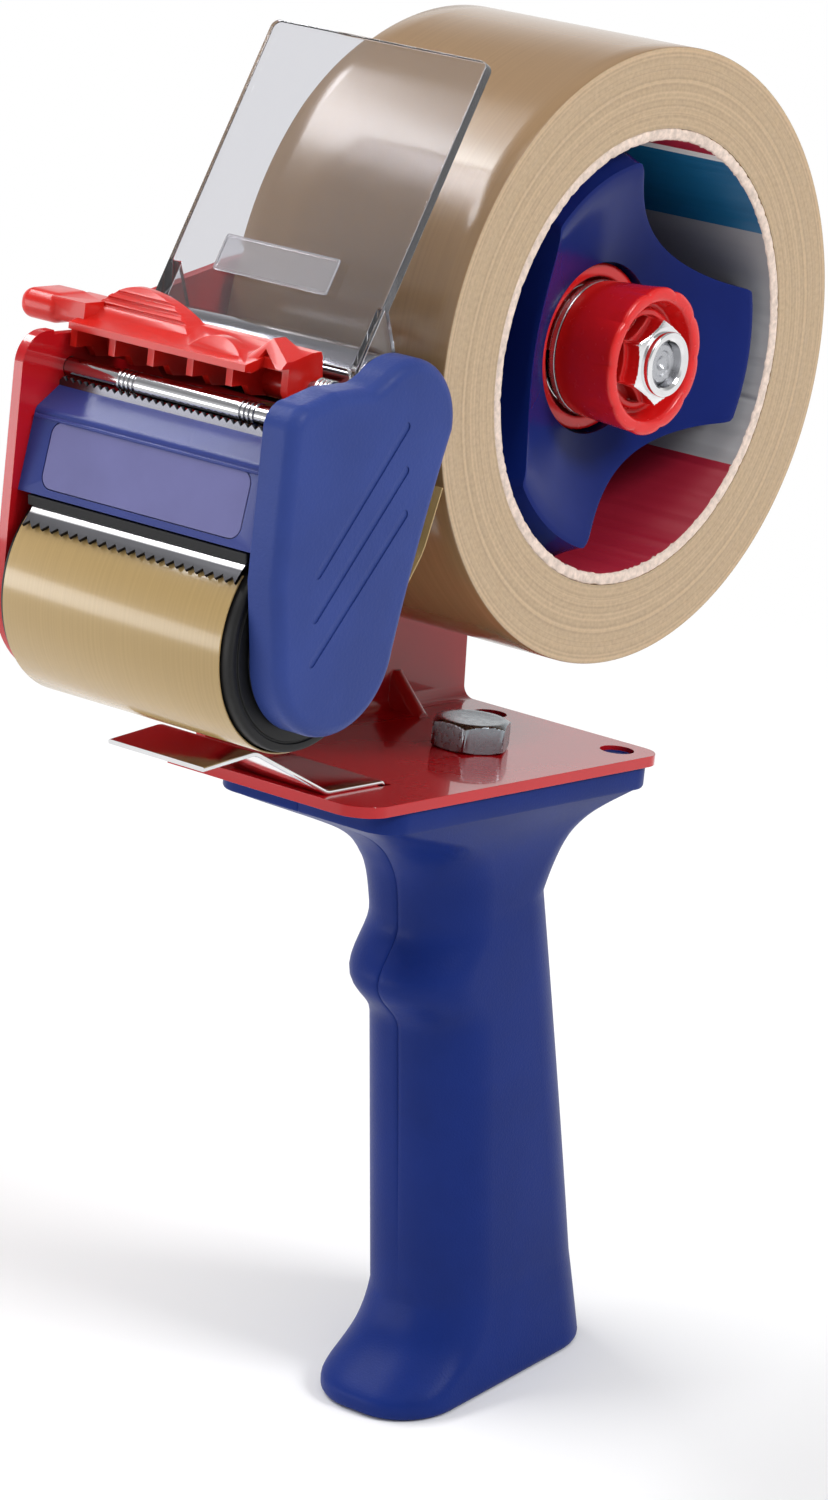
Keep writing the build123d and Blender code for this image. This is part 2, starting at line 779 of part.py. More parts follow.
def lever_crest():
    """Low arched crest beside the fin."""
    base = lever_top - lever_fall
    face = arch(crest_far, crest_peak, crest_near, base, lever_top + crest_height - lever_fall / 2)
    crest = extrude(front(crest_rear) * face, crest_front - crest_rear)
    lean = [(crest_rear, base), (crest_rear, lever_top + crest_height),
            (crest_rear + crest_crown, lever_top + crest_height), (crest_front, base)]
    return crest & slab(polygon(lean), crest_far, crest_near)


def lever_lug():
    """Roof-shaped lug at the open end, falling towards the cover."""
    base = lever_top - lever_fall
    top = lever_top + lug_height
    roof = front(lug_rear) * polygon([(lug_far, base), (lug_peak, top), (lever_near, top - lug_fall),
                                      (lever_near, base)])
    lug = extrude(roof, lug_front - lug_rear)
    lean = [(lug_rear, base), (lug_rear + 1, top), ((lug_rear + lug_front) / 2, top), (lug_front, base)]
    lug &= slab(polygon(lean), lug_far, lever_near)
    near = lever_near - lug_wall
    opening = polygon([(lug_far + 2 * lug_wall, base - 1), (lug_peak, top - 1.4 * lug_wall),
                       (near, top - lug_fall - lug_wall), (near, base - 1)])
    return lug - extrude(front(lug_rear + lug_back_wall) * opening, lug_length)


def lever_paw():
    """Rounded end beyond the upright that the hand lifts or presses."""
    inside = upright_inner + 2
    x = lever_axis[0] + paw_middle[0]
    z = lever_axis[1] + paw_middle[1]
    neck = Pos(x, (inside - paw_near) / 2 - 1, z + 0.4) * \
        Box(neck_reach, inside + paw_near + 2, neck_height)
    paw = Pos(x, -(paw_far + paw_near) / 2, z) * Box(paw_reach, paw_far - paw_near, paw_height)
    paw = fillet(paw.edges(), 0.44 * paw_height)
    return neck + paw


def groove_group(start):
    """Outline of one group of grooves round the rod."""
    points = []
    for n in range(rod_grooves):
        y = start + 2 * rod_groove * n
        points += [(rod_radius, y), (rod_radius, y + rod_groove), (rod_neck_radius, y + rod_groove),
                   (rod_neck_radius, y + 2 * rod_groove)]
    return points


def lever_rod():
    """Bright rod with a group of grooves at each end."""
    far = upright_outer - 0.6
    outline = [(0, far), (rod_neck_radius, far), (rod_neck_radius, rod_far_grooves)]
    outline += groove_group(rod_far_grooves)
    outline.append((rod_radius, rod_far_grooves + 2 * rod_groove * rod_grooves))
    outline += groove_group(rod_near_grooves)
    outline += [(rod_neck_radius, cover_inside), (0, cover_inside)]
    return turned(outline, rod_axis)


def lever_spring():
    """Torsion spring on the lever's pin, one leg up under the lever."""
    start = lever_near + 0.6
    radius = lever_pin_radius + coil_wire / 2 + 0.15
    turns = 4
    pitch = coil_wire + 0.15
    wound = coil(radius, coil_wire, pitch, pitch * turns, start + coil_wire / 2, lever_axis)
    return wound


# ---------------------------------------------------------------- guard, strip, blade
def guard_screw_spots():
    inner = mitred([guard_rear, guard_brow, guard_foot], -guard_wall)
    return [(inner[1][0] - 1.9, inner[1][1] - 1.0), (inner[2][0] - 2.2, inner[2][1] + 5.0)]


def front_guard():
    """Moulded wall over the blade, with an end plate on the upright."""
    outer = [guard_rear, guard_brow, guard_foot]
    inner = mitred(outer, -guard_wall)
    rear_low = (guard_rear[0], inner[0][1] - 0.5)
    wall = polygon(outer + [inner[2], inner[1], rear_low])
    guard = slab(wall, upright_inner, cover_rim)
    heel = (inner[2][0] - guard_heel[0], inner[2][1] + guard_heel[1])
    end = polygon(outer + [inner[2], heel, (guard_rear[0], guard_rear[1] - guard_end_drop)])
    guard += slab(end, upright_inner, upright_inner + guard_end_wall)
    guard += slab(end, cover_rim - guard_end_wall, cover_rim)
    for spot in guard_screw_spots():
        guard -= bar(spot, screw_radius, upright_inner, upright_inner + guard_end_wall)
    guard = fillet(guard.edges().filter_by(Axis.Y).sort_by_distance(
        (guard_brow[0], 0, guard_brow[1]))[0], guard_corner)
    return guard - panel_block(panel_sink, 0.0)


def panel_block(depth, inset):
    """Rounded rectangle let into the guard's front face."""
    middle = ((guard_brow[0] + guard_foot[0]) / 2, (guard_brow[1] + guard_foot[1]) / 2)
    fall = angle_of(guard_brow, guard_foot)
    face = Plane(origin=(middle[0], 0.5, middle[1]), x_dir=(0, 1, 0),
                 z_dir=(cos(radians(fall + 90)), 0, sin(radians(fall + 90))))
    outline = RectangleRounded(panel_length - 2 * inset, panel_height - 2 * inset, 2.4 - inset)
    return extrude(face * outline, -depth)


def toothed_strip():
    """Fine-toothed strip standing behind the guard's rear edge."""
    far = upright_inner
    near = cover_rim
    top = guard_rear[1] + 1.5
    pitch = (near - far) / strip_teeth
    points = [(far, top - strip_height), (far, top - 0.7)]
    for tooth in range(strip_teeth):
        points.append((far + pitch * (tooth + 0.5), top))
        points.append((far + pitch * (tooth + 1), top - 0.7))
    points.append((near, top - strip_height))
    return extrude(front(guard_rear[0] - strip_sheet) * polygon(points), strip_sheet)


def blade_points():
    """Tooth edge, bend and root of the blade's inner face in side view."""
    radius = tape_outer + free_gap
    foot = polar(roller_axis, radius, blade_angle)
    a = radians(blade_angle)
    teeth = (foot[0] + sin(a) * blade_leaf / 2, foot[1] - cos(a) * blade_leaf / 2)
    bend = (foot[0] - sin(a) * blade_leaf / 2, foot[1] + cos(a) * blade_leaf / 2)
    r = radians(180 - blade_rake)
    root = (bend[0] + blade_root * cos(r), bend[1] + blade_root * sin(r))
    return teeth, bend, root


def tear_blade():
    """Bent steel blade with saw teeth along its lower edge."""
    teeth, bend, root = blade_points()
    centre_line = mitred([teeth, bend, root], -blade_sheet / 2)
    blade = slab(strip(centre_line, blade_sheet, 0.8), blade_far, blade_near)
    pitch = blade_length / blade_teeth
    a = radians(blade_angle)
    plane = Plane(origin=(teeth[0], 0, teeth[1]), x_dir=(0, 1, 0), z_dir=(cos(a), 0, sin(a)))
    sense = 1 if plane.y_dir.Z > 0 else -1
    gullets = []
    for tooth in range(blade_teeth):
        y = blade_far + pitch * tooth
        gullets.append(polygon([(y - pitch * 0.02, -0.1 * sense), (y + pitch / 2, tooth_depth * sense),
                                (y + pitch * 1.02, -0.1 * sense)]))
    cutter = extrude(plane * Sketch(children=gullets), blade_sheet * 3, both=True)
    return blade - cutter


def blade_holder():
    """Black bead that grips the blade under the guard's lower edge."""
    teeth, bend, root = blade_points()
    grip_gap = 0.05
    outer_face = mitred([teeth, bend, root], -blade_sheet - grip_gap)
    inner = mitred([guard_rear, guard_brow, guard_foot], -guard_wall - grip_gap)
    low = guard_foot[1] - holder_drop
    shelf = inner[2][1] - grip_gap
    top = outer_face[2][1]
    share = (top - inner[2][1]) / (inner[1][1] - inner[2][1])
    top_x = inner[2][0] + share * (inner[1][0] - inner[2][0])
    section = polygon([outer_face[1], (guard_foot[0] - 0.5, low), (guard_foot[0] - 0.2, shelf),
                       (inner[2][0], shelf), (top_x, top), outer_face[2]])
    return slab(section, upright_inner + 2, cover_rim - 2)


# ---------------------------------------------------------------- side cover
def cover_outline():
    """Side view of the cover: a hump over the hinge and a round foot at the roller."""
    brow = (upright_front - cover_corner, cover_brow - cover_corner_drop)
    corner = (brow[0], brow[1] - cover_corner)
    front_top = (upright_front, corner[1])
    front_foot = touch_point(roller_axis, cover_foot_radius, front_top, -1)
    rear_top = polar(cover_hump, cover_hump_radius, 184)
    rear_foot = polar(roller_axis, cover_foot_radius, 186)
    step_high = polar(cover_hump, cover_hump_radius, 50)
    edges = [
        ThreePointArc(rear_foot, polar(roller_axis, cover_foot_radius, 270), front_foot),
        Line(front_foot, front_top),
        ThreePointArc(front_top, polar(corner, cover_corner, 45), brow),
        Polyline(brow, (cover_brow_front, cover_brow), (cover_step, cover_brow), step_high),
        ThreePointArc(step_high, polar(cover_hump, cover_hump_radius, 120), rear_top),
        ThreePointArc(rear_top, cover_back, rear_foot),
    ]
    return make_face(Curve() + edges)


def side_cover():
    outline = cover_outline()
    shell = slab(outline, cover_rim, cover_face)
    shell = fillet(shell.faces().sort_by(Axis.Y)[-1].edges(), cover_edge)
    shell -= slab(offset(outline, -cover_wall), cover_rim, cover_inside)
    for axis, radius in ((roller_axis, axle_radius), (guide_axis, guide_pin_radius),
                         (lever_axis, lever_pin_radius), (rod_axis, rod_neck_radius)):
        boss = (disc(axis, radius + cover_boss) & outline) - disc(axis, radius + running)
        shell += slab(boss, cover_rim, cover_inside)
        shell -= bar(axis, radius + running, cover_rim, cover_inside)
    for n in range(groove_count):
        shell -= cover_groove(n)
    return shell


def cover_groove(n):
    start = (groove_high[0] - 0.12 * groove_pitch * n, groove_high[1] - groove_pitch * n)
    end = (groove_low[0] - 0.04 * groove_pitch * n, groove_low[1] - groove_pitch * n)
    middle = ((start[0] + end[0]) / 2, (start[1] + end[1]) / 2)
    length = hypot(end[0] - start[0], end[1] - start[1])
    slot = Pos(*middle) * (Rot(0, 0, angle_of(start, end)) * SlotOverall(length, groove_width))
    return slab(slot, cover_face - groove_depth, cover_face + 1)


# ---------------------------------------------------------------- spring clip
def spring_clip():
    """Springy strip under the roller, hooked through a slot in the plate."""
    half = clip_sheet / 2
    over = plate_top + half
    under = plate_under - half
    room = roller_z - tape_outer - plate_top
    tip = (clip_tip_x, plate_top + clip_tip_rise * room)
    crest = (clip_crest_x, plate_top + clip_crest_rise * room)
    path = [tip, crest, (clip_toe_x, over), (clip_slot_x, over), (clip_slot_x, under),
            (clip_slot_x + clip_hem, under)]
    bends = [clip_bend, clip_bend, clip_sheet, clip_sheet]
    return slab(strip(path, clip_sheet, bends), -clip_width / 2, clip_width / 2)


# ---------------------------------------------------------------- handle and stud
def handle_front(z):
    reach = grip_front
    if z < toe_height:
        share = max(0.0, z - toe_belly) / (toe_height - toe_belly)
        reach += toe_length * (1 - share ** 3) / (1 + (share / toe_half) ** toe_fall)
    if abs(z - stop_height) < stop_half:
        reach += stop_reach * cos(pi * (z - stop_height) / (2 * stop_half)) ** 2
    return reach


def handle_rear(z):
    share = z / grip_top
    return -grip_rear_low + (grip_rear_low - grip_rear_high) * share ** grip_rear_curve


def grip_section(z, grow=0.0):
    front_edge = handle_front(z) + grow
    rear_edge = handle_rear(z) - grow
    foot_share = max(0.0, 1 - z / toe_height)
    width = grip_width + (foot_width - grip_width) * foot_share + 2 * grow
    return Pos((front_edge + rear_edge) / 2, 0, z) * \
        RectangleRounded(front_edge - rear_edge, width, grip_corner)


def grip_stations():
    """Heights of the sections, closer together where the outline bends."""
    stop = stop_height - stop_half
    heights = [toe_height * share for share in (0.08, 0.17, 0.27, 0.38, 0.5, 0.65, 0.82, 1.05)]
    heights += [toe_height + (stop - toe_height) * share for share in (0.25, 0.5, 0.75, 0.97)]
    heights += [stop_height + stop_half * share for share in (-0.6, -0.3, 0, 0.3, 0.6)]
    return [z for z in heights if z < 0.97 * grip_top] + [grip_top]


def handle():
    """Moulded grip: lofted from the foot to the flange under the plate."""
    heights = grip_stations()
    foot = loft([grip_section(0, -foot_round), grip_section(heights[0])])
    grip = loft([grip_section(z) for z in heights])
    under = plate_under - flange_thickness
    rear = plate_rear + flange_rear_gap
    middle = (rear + flange_front) / 2
    length = flange_front - rear
    width = 2 * (plate_near - flange_overhang)
    rim_place = head * Pos(middle, 0, under)
    rim_length = length - 2 * flange_draft
    rim_width = width - 2 * flange_draft
    rim = rim_place * RectangleRounded(rim_length, rim_width, flange_corner - flange_draft)
    neck_length = handle_front(grip_top) - handle_rear(grip_top)
    neck_x = (handle_front(grip_top) + handle_rear(grip_top)) / 2
    sections = [grip_section(grip_top)]
    for rise, spread, lean, shift in (flare_low, flare_high):
        place = Location((neck_x + shift * (rim_place.position.X - neck_x), 0,
                          grip_top + rise * (rim_place.position.Z - grip_top)), (0, -head_tilt * lean, 0))
        sections.append(place * RectangleRounded(neck_length + spread * (rim_length - neck_length),
                                                 grip_width + spread * (rim_width - grip_width),
                                                 grip_corner))
    flare = loft(sections + [rim])
    flange = head * (Pos(middle, 0, under) * extrude(
        RectangleRounded(length, width, flange_corner), flange_thickness))
    return foot + grip + flare + flange


def handle_cuts(body):
    """Clip recess, bolt bore and nut pocket, and the locating pegs."""
    recess = Pos(clip_slot_x + clip_hem / 2, 0, plate_under) * \
        Box(clip_hem + 4, clip_width + 1, 2 * (clip_sheet + 0.6))
    body -= head * recess
    shank = Pos(handle_bolt_x, 0, plate_top - handle_bolt_length / 2) * \
        Cylinder(handle_bolt_radius + running, handle_bolt_length + running)
    body -= head * shank
    body -= head * nut_prism()
    for y in (-peg_y, peg_y):
        peg = Pos(peg_x, y, plate_under) * Cylinder(peg_hole_radius - running, sheet - 0.6,
                                                    align=(Align.CENTER, Align.CENTER, Align.MIN))
        body += head * peg
    return body


def nut_prism():
    low = plate_top - handle_nut_depth - nut_height
    return extrude(Pos(handle_bolt_x, 0, low) * RegularPolygon(nut_flats / sqrt(3), 6), nut_height)


def handle_bolt():
    """Bolt through the plate; its head is the hexagon on top of the plate."""
    cap = along((handle_bolt_x, 0, plate_top), hexagon(nut_flats, (0, 0), 0, bolt_head_height))
    shank = Pos(handle_bolt_x, 0, plate_top - handle_bolt_length / 2) * \
        Cylinder(handle_bolt_radius, handle_bolt_length)
    return cap + shank


def handle_nut():
    """Nut held in the handle."""
    middle = plate_top - handle_nut_depth - nut_height / 2
    bore = Pos(handle_bolt_x, 0, middle) * Cylinder(handle_bolt_radius, 2 * nut_height)
    return nut_prism() - bore


def guard_screws():
    screws = []
    for spot in guard_screw_spots():
        screw = turned([(0, upright_outer - screw_head_height),
                        (screw_head_radius - 0.7, upright_outer - screw_head_height),
                        (screw_head_radius, upright_outer - 0.6), (screw_head_radius, upright_outer),
                        (screw_radius, upright_outer), (screw_radius, upright_inner + guard_end_wall),
                        (0, upright_inner + guard_end_wall)], spot)
        screws.append(screw.solid())
    return Compound(children=screws)


def main():
    os.makedirs("parts", exist_ok=True)
    save("steel_frame", steel_frame())
    save("handle", handle_cuts(handle()), Location())
    save("handle_bolt", handle_bolt())
    save("handle_nut", handle_nut())
    save("spring_clip", spring_clip())
    save("hub", hub())
    save("hub_bearing", hub_bearing())
    save("hub_flange", hub_flange())
    save("paper_core", paper_core())
    save("tape_roll", tape_roll())
    save("tape_run", tape_run())
    save("spindle_bolt", spindle_bolt())
    save("spindle_nut", spindle_nut())
    save("brake_cup", brake_cup())
    save("brake_spring", brake_spring())
    save("brake_washer", brake_washer())
    save("brake_knob", brake_knob())
    save("brake_nut", brake_nut())
    save("roller_tyre", roller_tyre())
    save("roller_core", roller_core())
    save("roller_bushes", roller_bushes())
    save("roller_axle", headed_pin(roller_axis, axle_radius, axle_head_radius,
                                   axle_head_height, cover_inside))
    save("guide_roller", guide_roller())
    save("guide_pin", headed_pin(guide_axis, guide_pin_radius, guide_head_radius,
                                 guide_head_height, cover_inside))
    save("clear_flap", clear_flap())
    save("press_lever", press_lever())
    save("lever_pin", headed_pin(lever_axis, lever_pin_radius, lever_head_radius,
                                 lever_head_height, cover_inside))
    save("lever_spring", lever_spring())
    save("lever_rod", lever_rod())
    save("toothed_strip", toothed_strip())
    save("front_guard", front_guard())
    save("guard_panel", panel_block(panel_sink, 0.15))
    save("guard_screws", guard_screws())
    save("tear_blade", tear_blade())
    save("blade_holder", blade_holder())
    save("side_cover", side_cover())


main()
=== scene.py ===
# %% [markdown]
# # A pistol-grip tape dispenser
# The working model of this dispenser comes from the CAD frame: every piece at its
# real size, grouped into bodies that turn and slide.  Here each piece gets its
# finish, and the pieces whose charm is in soft edges, winding lines or moulded
# curves are modelled again as fine meshes over the same sizes.

# %% Load the frame
import json
import random
from math import acos, atan2, cos, degrees, exp, hypot, log, pi, radians, sin, sqrt, tan

import bmesh
import bpy
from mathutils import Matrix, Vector, noise


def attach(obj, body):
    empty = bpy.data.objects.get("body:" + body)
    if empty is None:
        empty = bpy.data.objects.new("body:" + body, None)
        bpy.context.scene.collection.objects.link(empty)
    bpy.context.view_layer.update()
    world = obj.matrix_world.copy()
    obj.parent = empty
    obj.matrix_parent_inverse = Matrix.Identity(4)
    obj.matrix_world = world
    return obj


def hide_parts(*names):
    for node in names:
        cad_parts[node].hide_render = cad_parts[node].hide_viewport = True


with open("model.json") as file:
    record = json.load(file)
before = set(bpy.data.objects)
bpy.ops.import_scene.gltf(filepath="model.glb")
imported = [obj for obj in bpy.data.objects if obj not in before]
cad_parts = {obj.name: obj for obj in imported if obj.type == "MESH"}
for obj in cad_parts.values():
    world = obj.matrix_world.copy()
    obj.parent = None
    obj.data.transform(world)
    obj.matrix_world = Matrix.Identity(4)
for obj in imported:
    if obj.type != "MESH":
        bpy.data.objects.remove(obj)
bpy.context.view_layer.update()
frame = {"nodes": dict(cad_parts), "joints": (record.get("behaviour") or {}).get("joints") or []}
nodes = frame["nodes"]

# %% [markdown]
# ## Two ways to say where
# The head leans back on the handle, so its pieces are easier to describe in the
# head's own axes: x towards the applicator roller, y towards the open side, z away
# from the handle, measured from the spindle in millimetres.  One short function
# turns such a place into the frame's metres.  The joints of the frame say where the
# spindle and the small axles are, so nothing is measured twice.

# %% Places on the head
MM = 0.001
HEAD_TILT = radians(9.4)
AXLES = {joint["name"]: Vector(joint["pos_m"]) for joint in frame["joints"] if joint.get("pos_m")}
SPINDLE = AXLES["roll_spin"]


def at_head(x, y, z):
    """Head millimetres to frame metres."""
    return SPINDLE + MM * Vector((x * cos(HEAD_TILT) - z * sin(HEAD_TILT), y,
                                  x * sin(HEAD_TILT) + z * cos(HEAD_TILT)))


def head_place(name):
    """Head x and z, in millimetres, of a named joint's axle."""
    offset = (AXLES[name] - SPINDLE) / MM
    return (offset.x * cos(HEAD_TILT) + offset.z * sin(HEAD_TILT),
            -offset.x * sin(HEAD_TILT) + offset.z * cos(HEAD_TILT))


ROLLER = head_place("applicator_spin")
GUIDE = head_place("guide_spin")
print("applicator roller at", [round(v, 2) for v in ROLLER])

# %% [markdown]
# ## Finishes
# Every finish is a small node tree.  A colour alone looks like a sample card, so
# each one also has what the real surface has: grain in moulded plastic, a faint
# orange peel in enamel, brush lines in plated steel.  Textures are read in object
# coordinates, which move with the piece, so nothing slides when a joint turns.  A
# number that is the same all over is set on the shader's own socket.

# %% Helpers for node trees
def tint(red, green, blue):
    """A colour written as on screen, 0 to 255, turned to linear light."""
    def linear(value):
        value /= 255
        return value / 12.92 if value <= 0.04045 else ((value + 0.055) / 1.055) ** 2.4
    return (linear(red), linear(green), linear(blue), 1.0)


def shaded(colour, factor):
    """The colour made darker or lighter."""
    return tuple(min(1.0, channel * factor) for channel in colour[:3]) + (1.0,)


def new_finish(name):
    """A new material, its node tree and its shader."""
    finish = bpy.data.materials.new(name)
    finish.use_nodes = True
    tree = finish.node_tree
    return finish, tree, tree.nodes["Principled BSDF"]


def add_node(tree, kind, **settings):
    node = tree.nodes.new(kind)
    for key, value in settings.items():
        setattr(node, key, value)
    return node


def join(tree, source, target):
    tree.links.new(source, target)


def set_sockets(shader, values):
    for socket, value in values.items():
        shader.inputs[socket].default_value = value


print("middle grey in linear light:", round(tint(128, 128, 128)[0], 3))

# %% [markdown]
# Four small helpers do nearly all the work of a finish: noise for the grain, a ramp
# that turns it into shades of one colour, a range for the roughness, and a bump for
# the relief.  Noise is chosen over an image because it has no seams and no scale of
# its own: its size is given in features per metre, as on the real surface.

# %% Grain, colour and relief
def object_place(tree):
    """Object coordinates, which ride with the piece."""
    return add_node(tree, "ShaderNodeTexCoord").outputs["Object"]


def grain(tree, scale, detail, stretch=(1, 1, 1)):
    """Noise over the piece; scale is features per metre."""
    mapping = add_node(tree, "ShaderNodeMapping")
    mapping.inputs["Scale"].default_value = stretch
    texture = add_node(tree, "ShaderNodeTexNoise")
    set_sockets(texture, {"Scale": scale, "Detail": detail, "Roughness": 0.55})
    join(tree, object_place(tree), mapping.inputs["Vector"])
    join(tree, mapping.outputs["Vector"], texture.inputs["Vector"])
    return texture.outputs["Fac"]


def colour_ramp(tree, source, stops, blend="LINEAR"):
    """Colours at their positions along a ramp that the source walks through."""
    ramp = add_node(tree, "ShaderNodeValToRGB")
    ramp.color_ramp.interpolation = blend
    elements = ramp.color_ramp.elements
    for n, (position, colour) in enumerate(stops):
        stop = elements[n] if n < 2 else elements.new(position)
        stop.position = position
        stop.color = colour
    join(tree, source, ramp.inputs["Fac"])
    return ramp.outputs["Color"]


def remap(tree, value, old=(0.0, 1.0), new=(0.0, 1.0), **settings):
    """Turns one range of a value into another."""
    ranges = add_node(tree, "ShaderNodeMapRange", **settings)
    set_sockets(ranges, dict(zip(("From Min", "From Max", "To Min", "To Max"), (*old, *new))))
    join(tree, value, ranges.inputs["Value"])
    return ranges.outputs["Result"]


def vary_colour(tree, shader, source, colour, dark, light, low=0.3, high=0.7):
    """Base colour between two shades of one colour as the source goes from low to high."""
    stops = [(low, shaded(colour, dark)), (high, shaded(colour, light))]
    join(tree, colour_ramp(tree, source, stops), shader.inputs["Base Color"])


def vary_roughness(tree, shader, source, low, high):
    join(tree, remap(tree, source, new=(low, high)), shader.inputs["Roughness"])


def relief(tree, shader, height, strength, distance):
    """Bump from a height; distance is in metres."""
    bump = add_node(tree, "ShaderNodeBump")
    set_sockets(bump, {"Strength": strength, "Distance": distance})
    join(tree, height, bump.inputs["Height"])
    join(tree, bump.outputs["Normal"], shader.inputs["Normal"])


print("ten features per centimetre is a scale of", round(10 / (10 * MM)))

# %% [markdown]
# ### Moulded plastics
# The steel mould of a plastic part is spark-eroded, and every part comes out with
# its fine dull grain.  The cover's is the coarsest, the grip's is a little finer,
# and the hub is nearly polished.  They are one function with other numbers.  The
# shine is low on the blues, because a strong one would wash their colour out.

# %% Moulded plastics
def moulded(name, colour, roughness, grain_scale, grain_depth, coat=0.0, shine=0.25):
    """Coloured plastic with a spark-eroded grain and a slight mottle."""
    finish, tree, shader = new_finish(name)
    vary_colour(tree, shader, grain(tree, 55, 4), colour, 0.9, 1.08)
    texture = grain(tree, grain_scale, 2)
    relief(tree, shader, texture, 0.5, grain_depth)
    vary_roughness(tree, shader, texture, roughness - 0.06, roughness + 0.08)
    set_sockets(shader, {"Coat Weight": coat, "Coat Roughness": 0.12, "Specular IOR Level": shine})
    return finish


GRIP_BLUE = moulded("grip_blue", tint(20, 42, 112), 0.4, 2600, 0.00009, shine=0.1)
BODY_BLUE = moulded("body_blue", tint(50, 62, 128), 0.3, 2200, 0.00004, coat=0.05, shine=0.2)
COVER_BLUE = moulded("cover_blue", tint(48, 66, 132), 0.4, 1700, 0.00012, shine=0.14)
HUB_BLUE = moulded("hub_blue", tint(18, 34, 102), 0.16, 240, 0.000008, shine=0.07)
KNOB_RED = moulded("knob_red", tint(218, 26, 26), 0.24, 700, 0.00003, coat=0.15, shine=0.35)
BLACK_PLASTIC = moulded("black_plastic", tint(26, 26, 28), 0.45, 1500, 0.00004)
GREY_PLASTIC = moulded("grey_plastic", tint(92, 92, 96), 0.5, 1500, 0.00004)
PANEL_FILM = moulded("panel_film", tint(106, 106, 156), 0.36, 900, 0.00003)
print("plastics:", GRIP_BLUE.name, BODY_BLUE.name, HUB_BLUE.name, KNOB_RED.name)

# %% [markdown]
# ### Enamel
# The frame is sheet steel, dipped or powder-coated in red.  Thick paint has two
# layers to the eye: the colour, and a wet-looking skin over it.  So the shader's
# coat carries the sharp reflections, and a slow, shallow noise gives the orange peel
# that makes them waver.

# %% Enamel
def enamel(name, colour):
    """Thick glossy paint: clear coat over colour, with a faint orange peel."""
    finish, tree, shader = new_finish(name)
    vary_colour(tree, shader, grain(tree, 30, 3), colour, 0.92, 1.05)
    relief(tree, shader, grain(tree, 420, 1), 0.08, 0.00008)
    set_sockets(shader, {"Roughness": 0.2, "Specular IOR Level": 0.15,
                         "Coat Weight": 0.6, "Coat Roughness": 0.03})
    return finish


FRAME_RED = enamel("frame_red", tint(188, 20, 28))
print("enamel:", FRAME_RED.name)

# %% [markdown]
# ### Plated steel
# Rods and strips are drawn or rolled before they are plated, which leaves fine lines
# along them.  Noise that is stretched in one direction gives those lines, and it
# drives both the roughness and a very shallow bump.  Bolts have a duller zinc with
# no direction to it.

# %% Plated steel
DRAWN = (1, 0.06, 1)
FORGED = (1, 1, 1)


def plated(name, colour, roughness, brush, depth):
    """Plated steel with fine lines from drawing or rolling."""
    finish, tree, shader = new_finish(name)
    lines = grain(tree, 900, 3, brush)
    vary_colour(tree, shader, grain(tree, 120, 4), colour, 0.82, 1.0, 0.25, 0.75)
    vary_roughness(tree, shader, lines, roughness * 0.6, roughness * 1.6)
    relief(tree, shader, lines, 0.25, depth)
    set_sockets(shader, {"Metallic": 1.0})
    return finish


BRIGHT = plated("bright", (0.86, 0.86, 0.87, 1), 0.09, DRAWN, 0.00001)
ZINC = plated("zinc", (0.5, 0.51, 0.54, 1), 0.26, FORGED, 0.00002)
# A darker copy of the zinc, with a deeper bump, for the handle bolt.
ZINC_DARKER = plated("zinc_darker", (0.3, 0.33, 0.36, 1), 0.26, FORGED, 0.00005)
# The guide roller's plated tube, its colour painted dark in place of the dark it reflects: painted shade.
STEEL_PAINTED_DARK = plated("steel_painted_dark", (0.34, 0.34, 0.36, 1), 0.1, DRAWN, 0.00001)
ROD_STEEL = plated("rod_steel", (0.58, 0.58, 0.6, 1), 0.1, DRAWN, 0.00001)
STRIP_STEEL = plated("strip_steel", (0.1, 0.1, 0.115, 1), 0.2, DRAWN, 0.00001)
print("steels:", BRIGHT.name, ZINC.name, STEEL_PAINTED_DARK.name)

# %% [markdown]
# ### The blade's steel, with a painted highlight
# A tear blade is a hardened strip.  Its near-black colour is partly the tempered steel
# and partly painted dark reflection.  A narrow bright band along it is partly the
# ground back and mostly a painted highlight.  The band runs dead straight along the
# blade, so a ramp over the blade's own height places it, and the mesh itself says how
# high it is.

# %% The blade's steel, with a painted highlight
def vector_maths(tree, operation, vector, other=(0, 0, 0)):
    """One step of vector arithmetic with a fixed second vector."""
    node = add_node(tree, "ShaderNodeVectorMath", operation=operation)
    join(tree, vector, node.inputs[0])
    node.inputs[1].default_value = other
    return node.outputs["Value" if operation in ("DOT_PRODUCT", "LENGTH") else "Vector"]


def blade_with_painted_band(name):
    """Near-black steel with painted dark reflection and a painted highlight band, with brush lines along
    it.
    """
    finish, tree, shader = new_finish(name)
    head_up = Vector((-sin(HEAD_TILT), 0, cos(HEAD_TILT)))
    heights = [point.co.dot(head_up) for point in nodes["tear_blade"].data.vertices]
    height = vector_maths(tree, "DOT_PRODUCT", object_place(tree), head_up)
    share = remap(tree, height, (min(heights), max(heights)))
    # Near black low on the blade, a narrow bright band, then dark again: a painted highlight between
    # painted dark reflection.
    stops = [(0.0, (0.02, 0.02, 0.022, 1)), (0.185, (0.035, 0.035, 0.038, 1))]
    stops += [(place, (level, level, level * 1.01, 1))
              for place, level in ((0.225, 0.7), (0.26, 0.8), (0.31, 0.06))]
    join(tree, colour_ramp(tree, share, stops), shader.inputs["Base Color"])
    lines = grain(tree, 900, 3, DRAWN)
    vary_roughness(tree, shader, lines, 0.22, 0.42)
    relief(tree, shader, lines, 0.3, 0.00002)
    set_sockets(shader, {"Metallic": 1.0})
    return finish


BLADE_WITH_PAINTED_BAND = blade_with_painted_band("blade_painted_band")

# %% [markdown]
# ### Rubber, clear sheet and glowing red
# Rubber is black with a breath of dust in it.  The flap is cast clear sheet: nearly
# all of it is transmission, with a faint cool tint, and a haze where hands have been.
# The raised plate on it lets less light through, so it reads as milky.  The lever's
# red lets light in a little way, so it glows at thin places; a small subsurface share
# does that better than a brighter colour would.

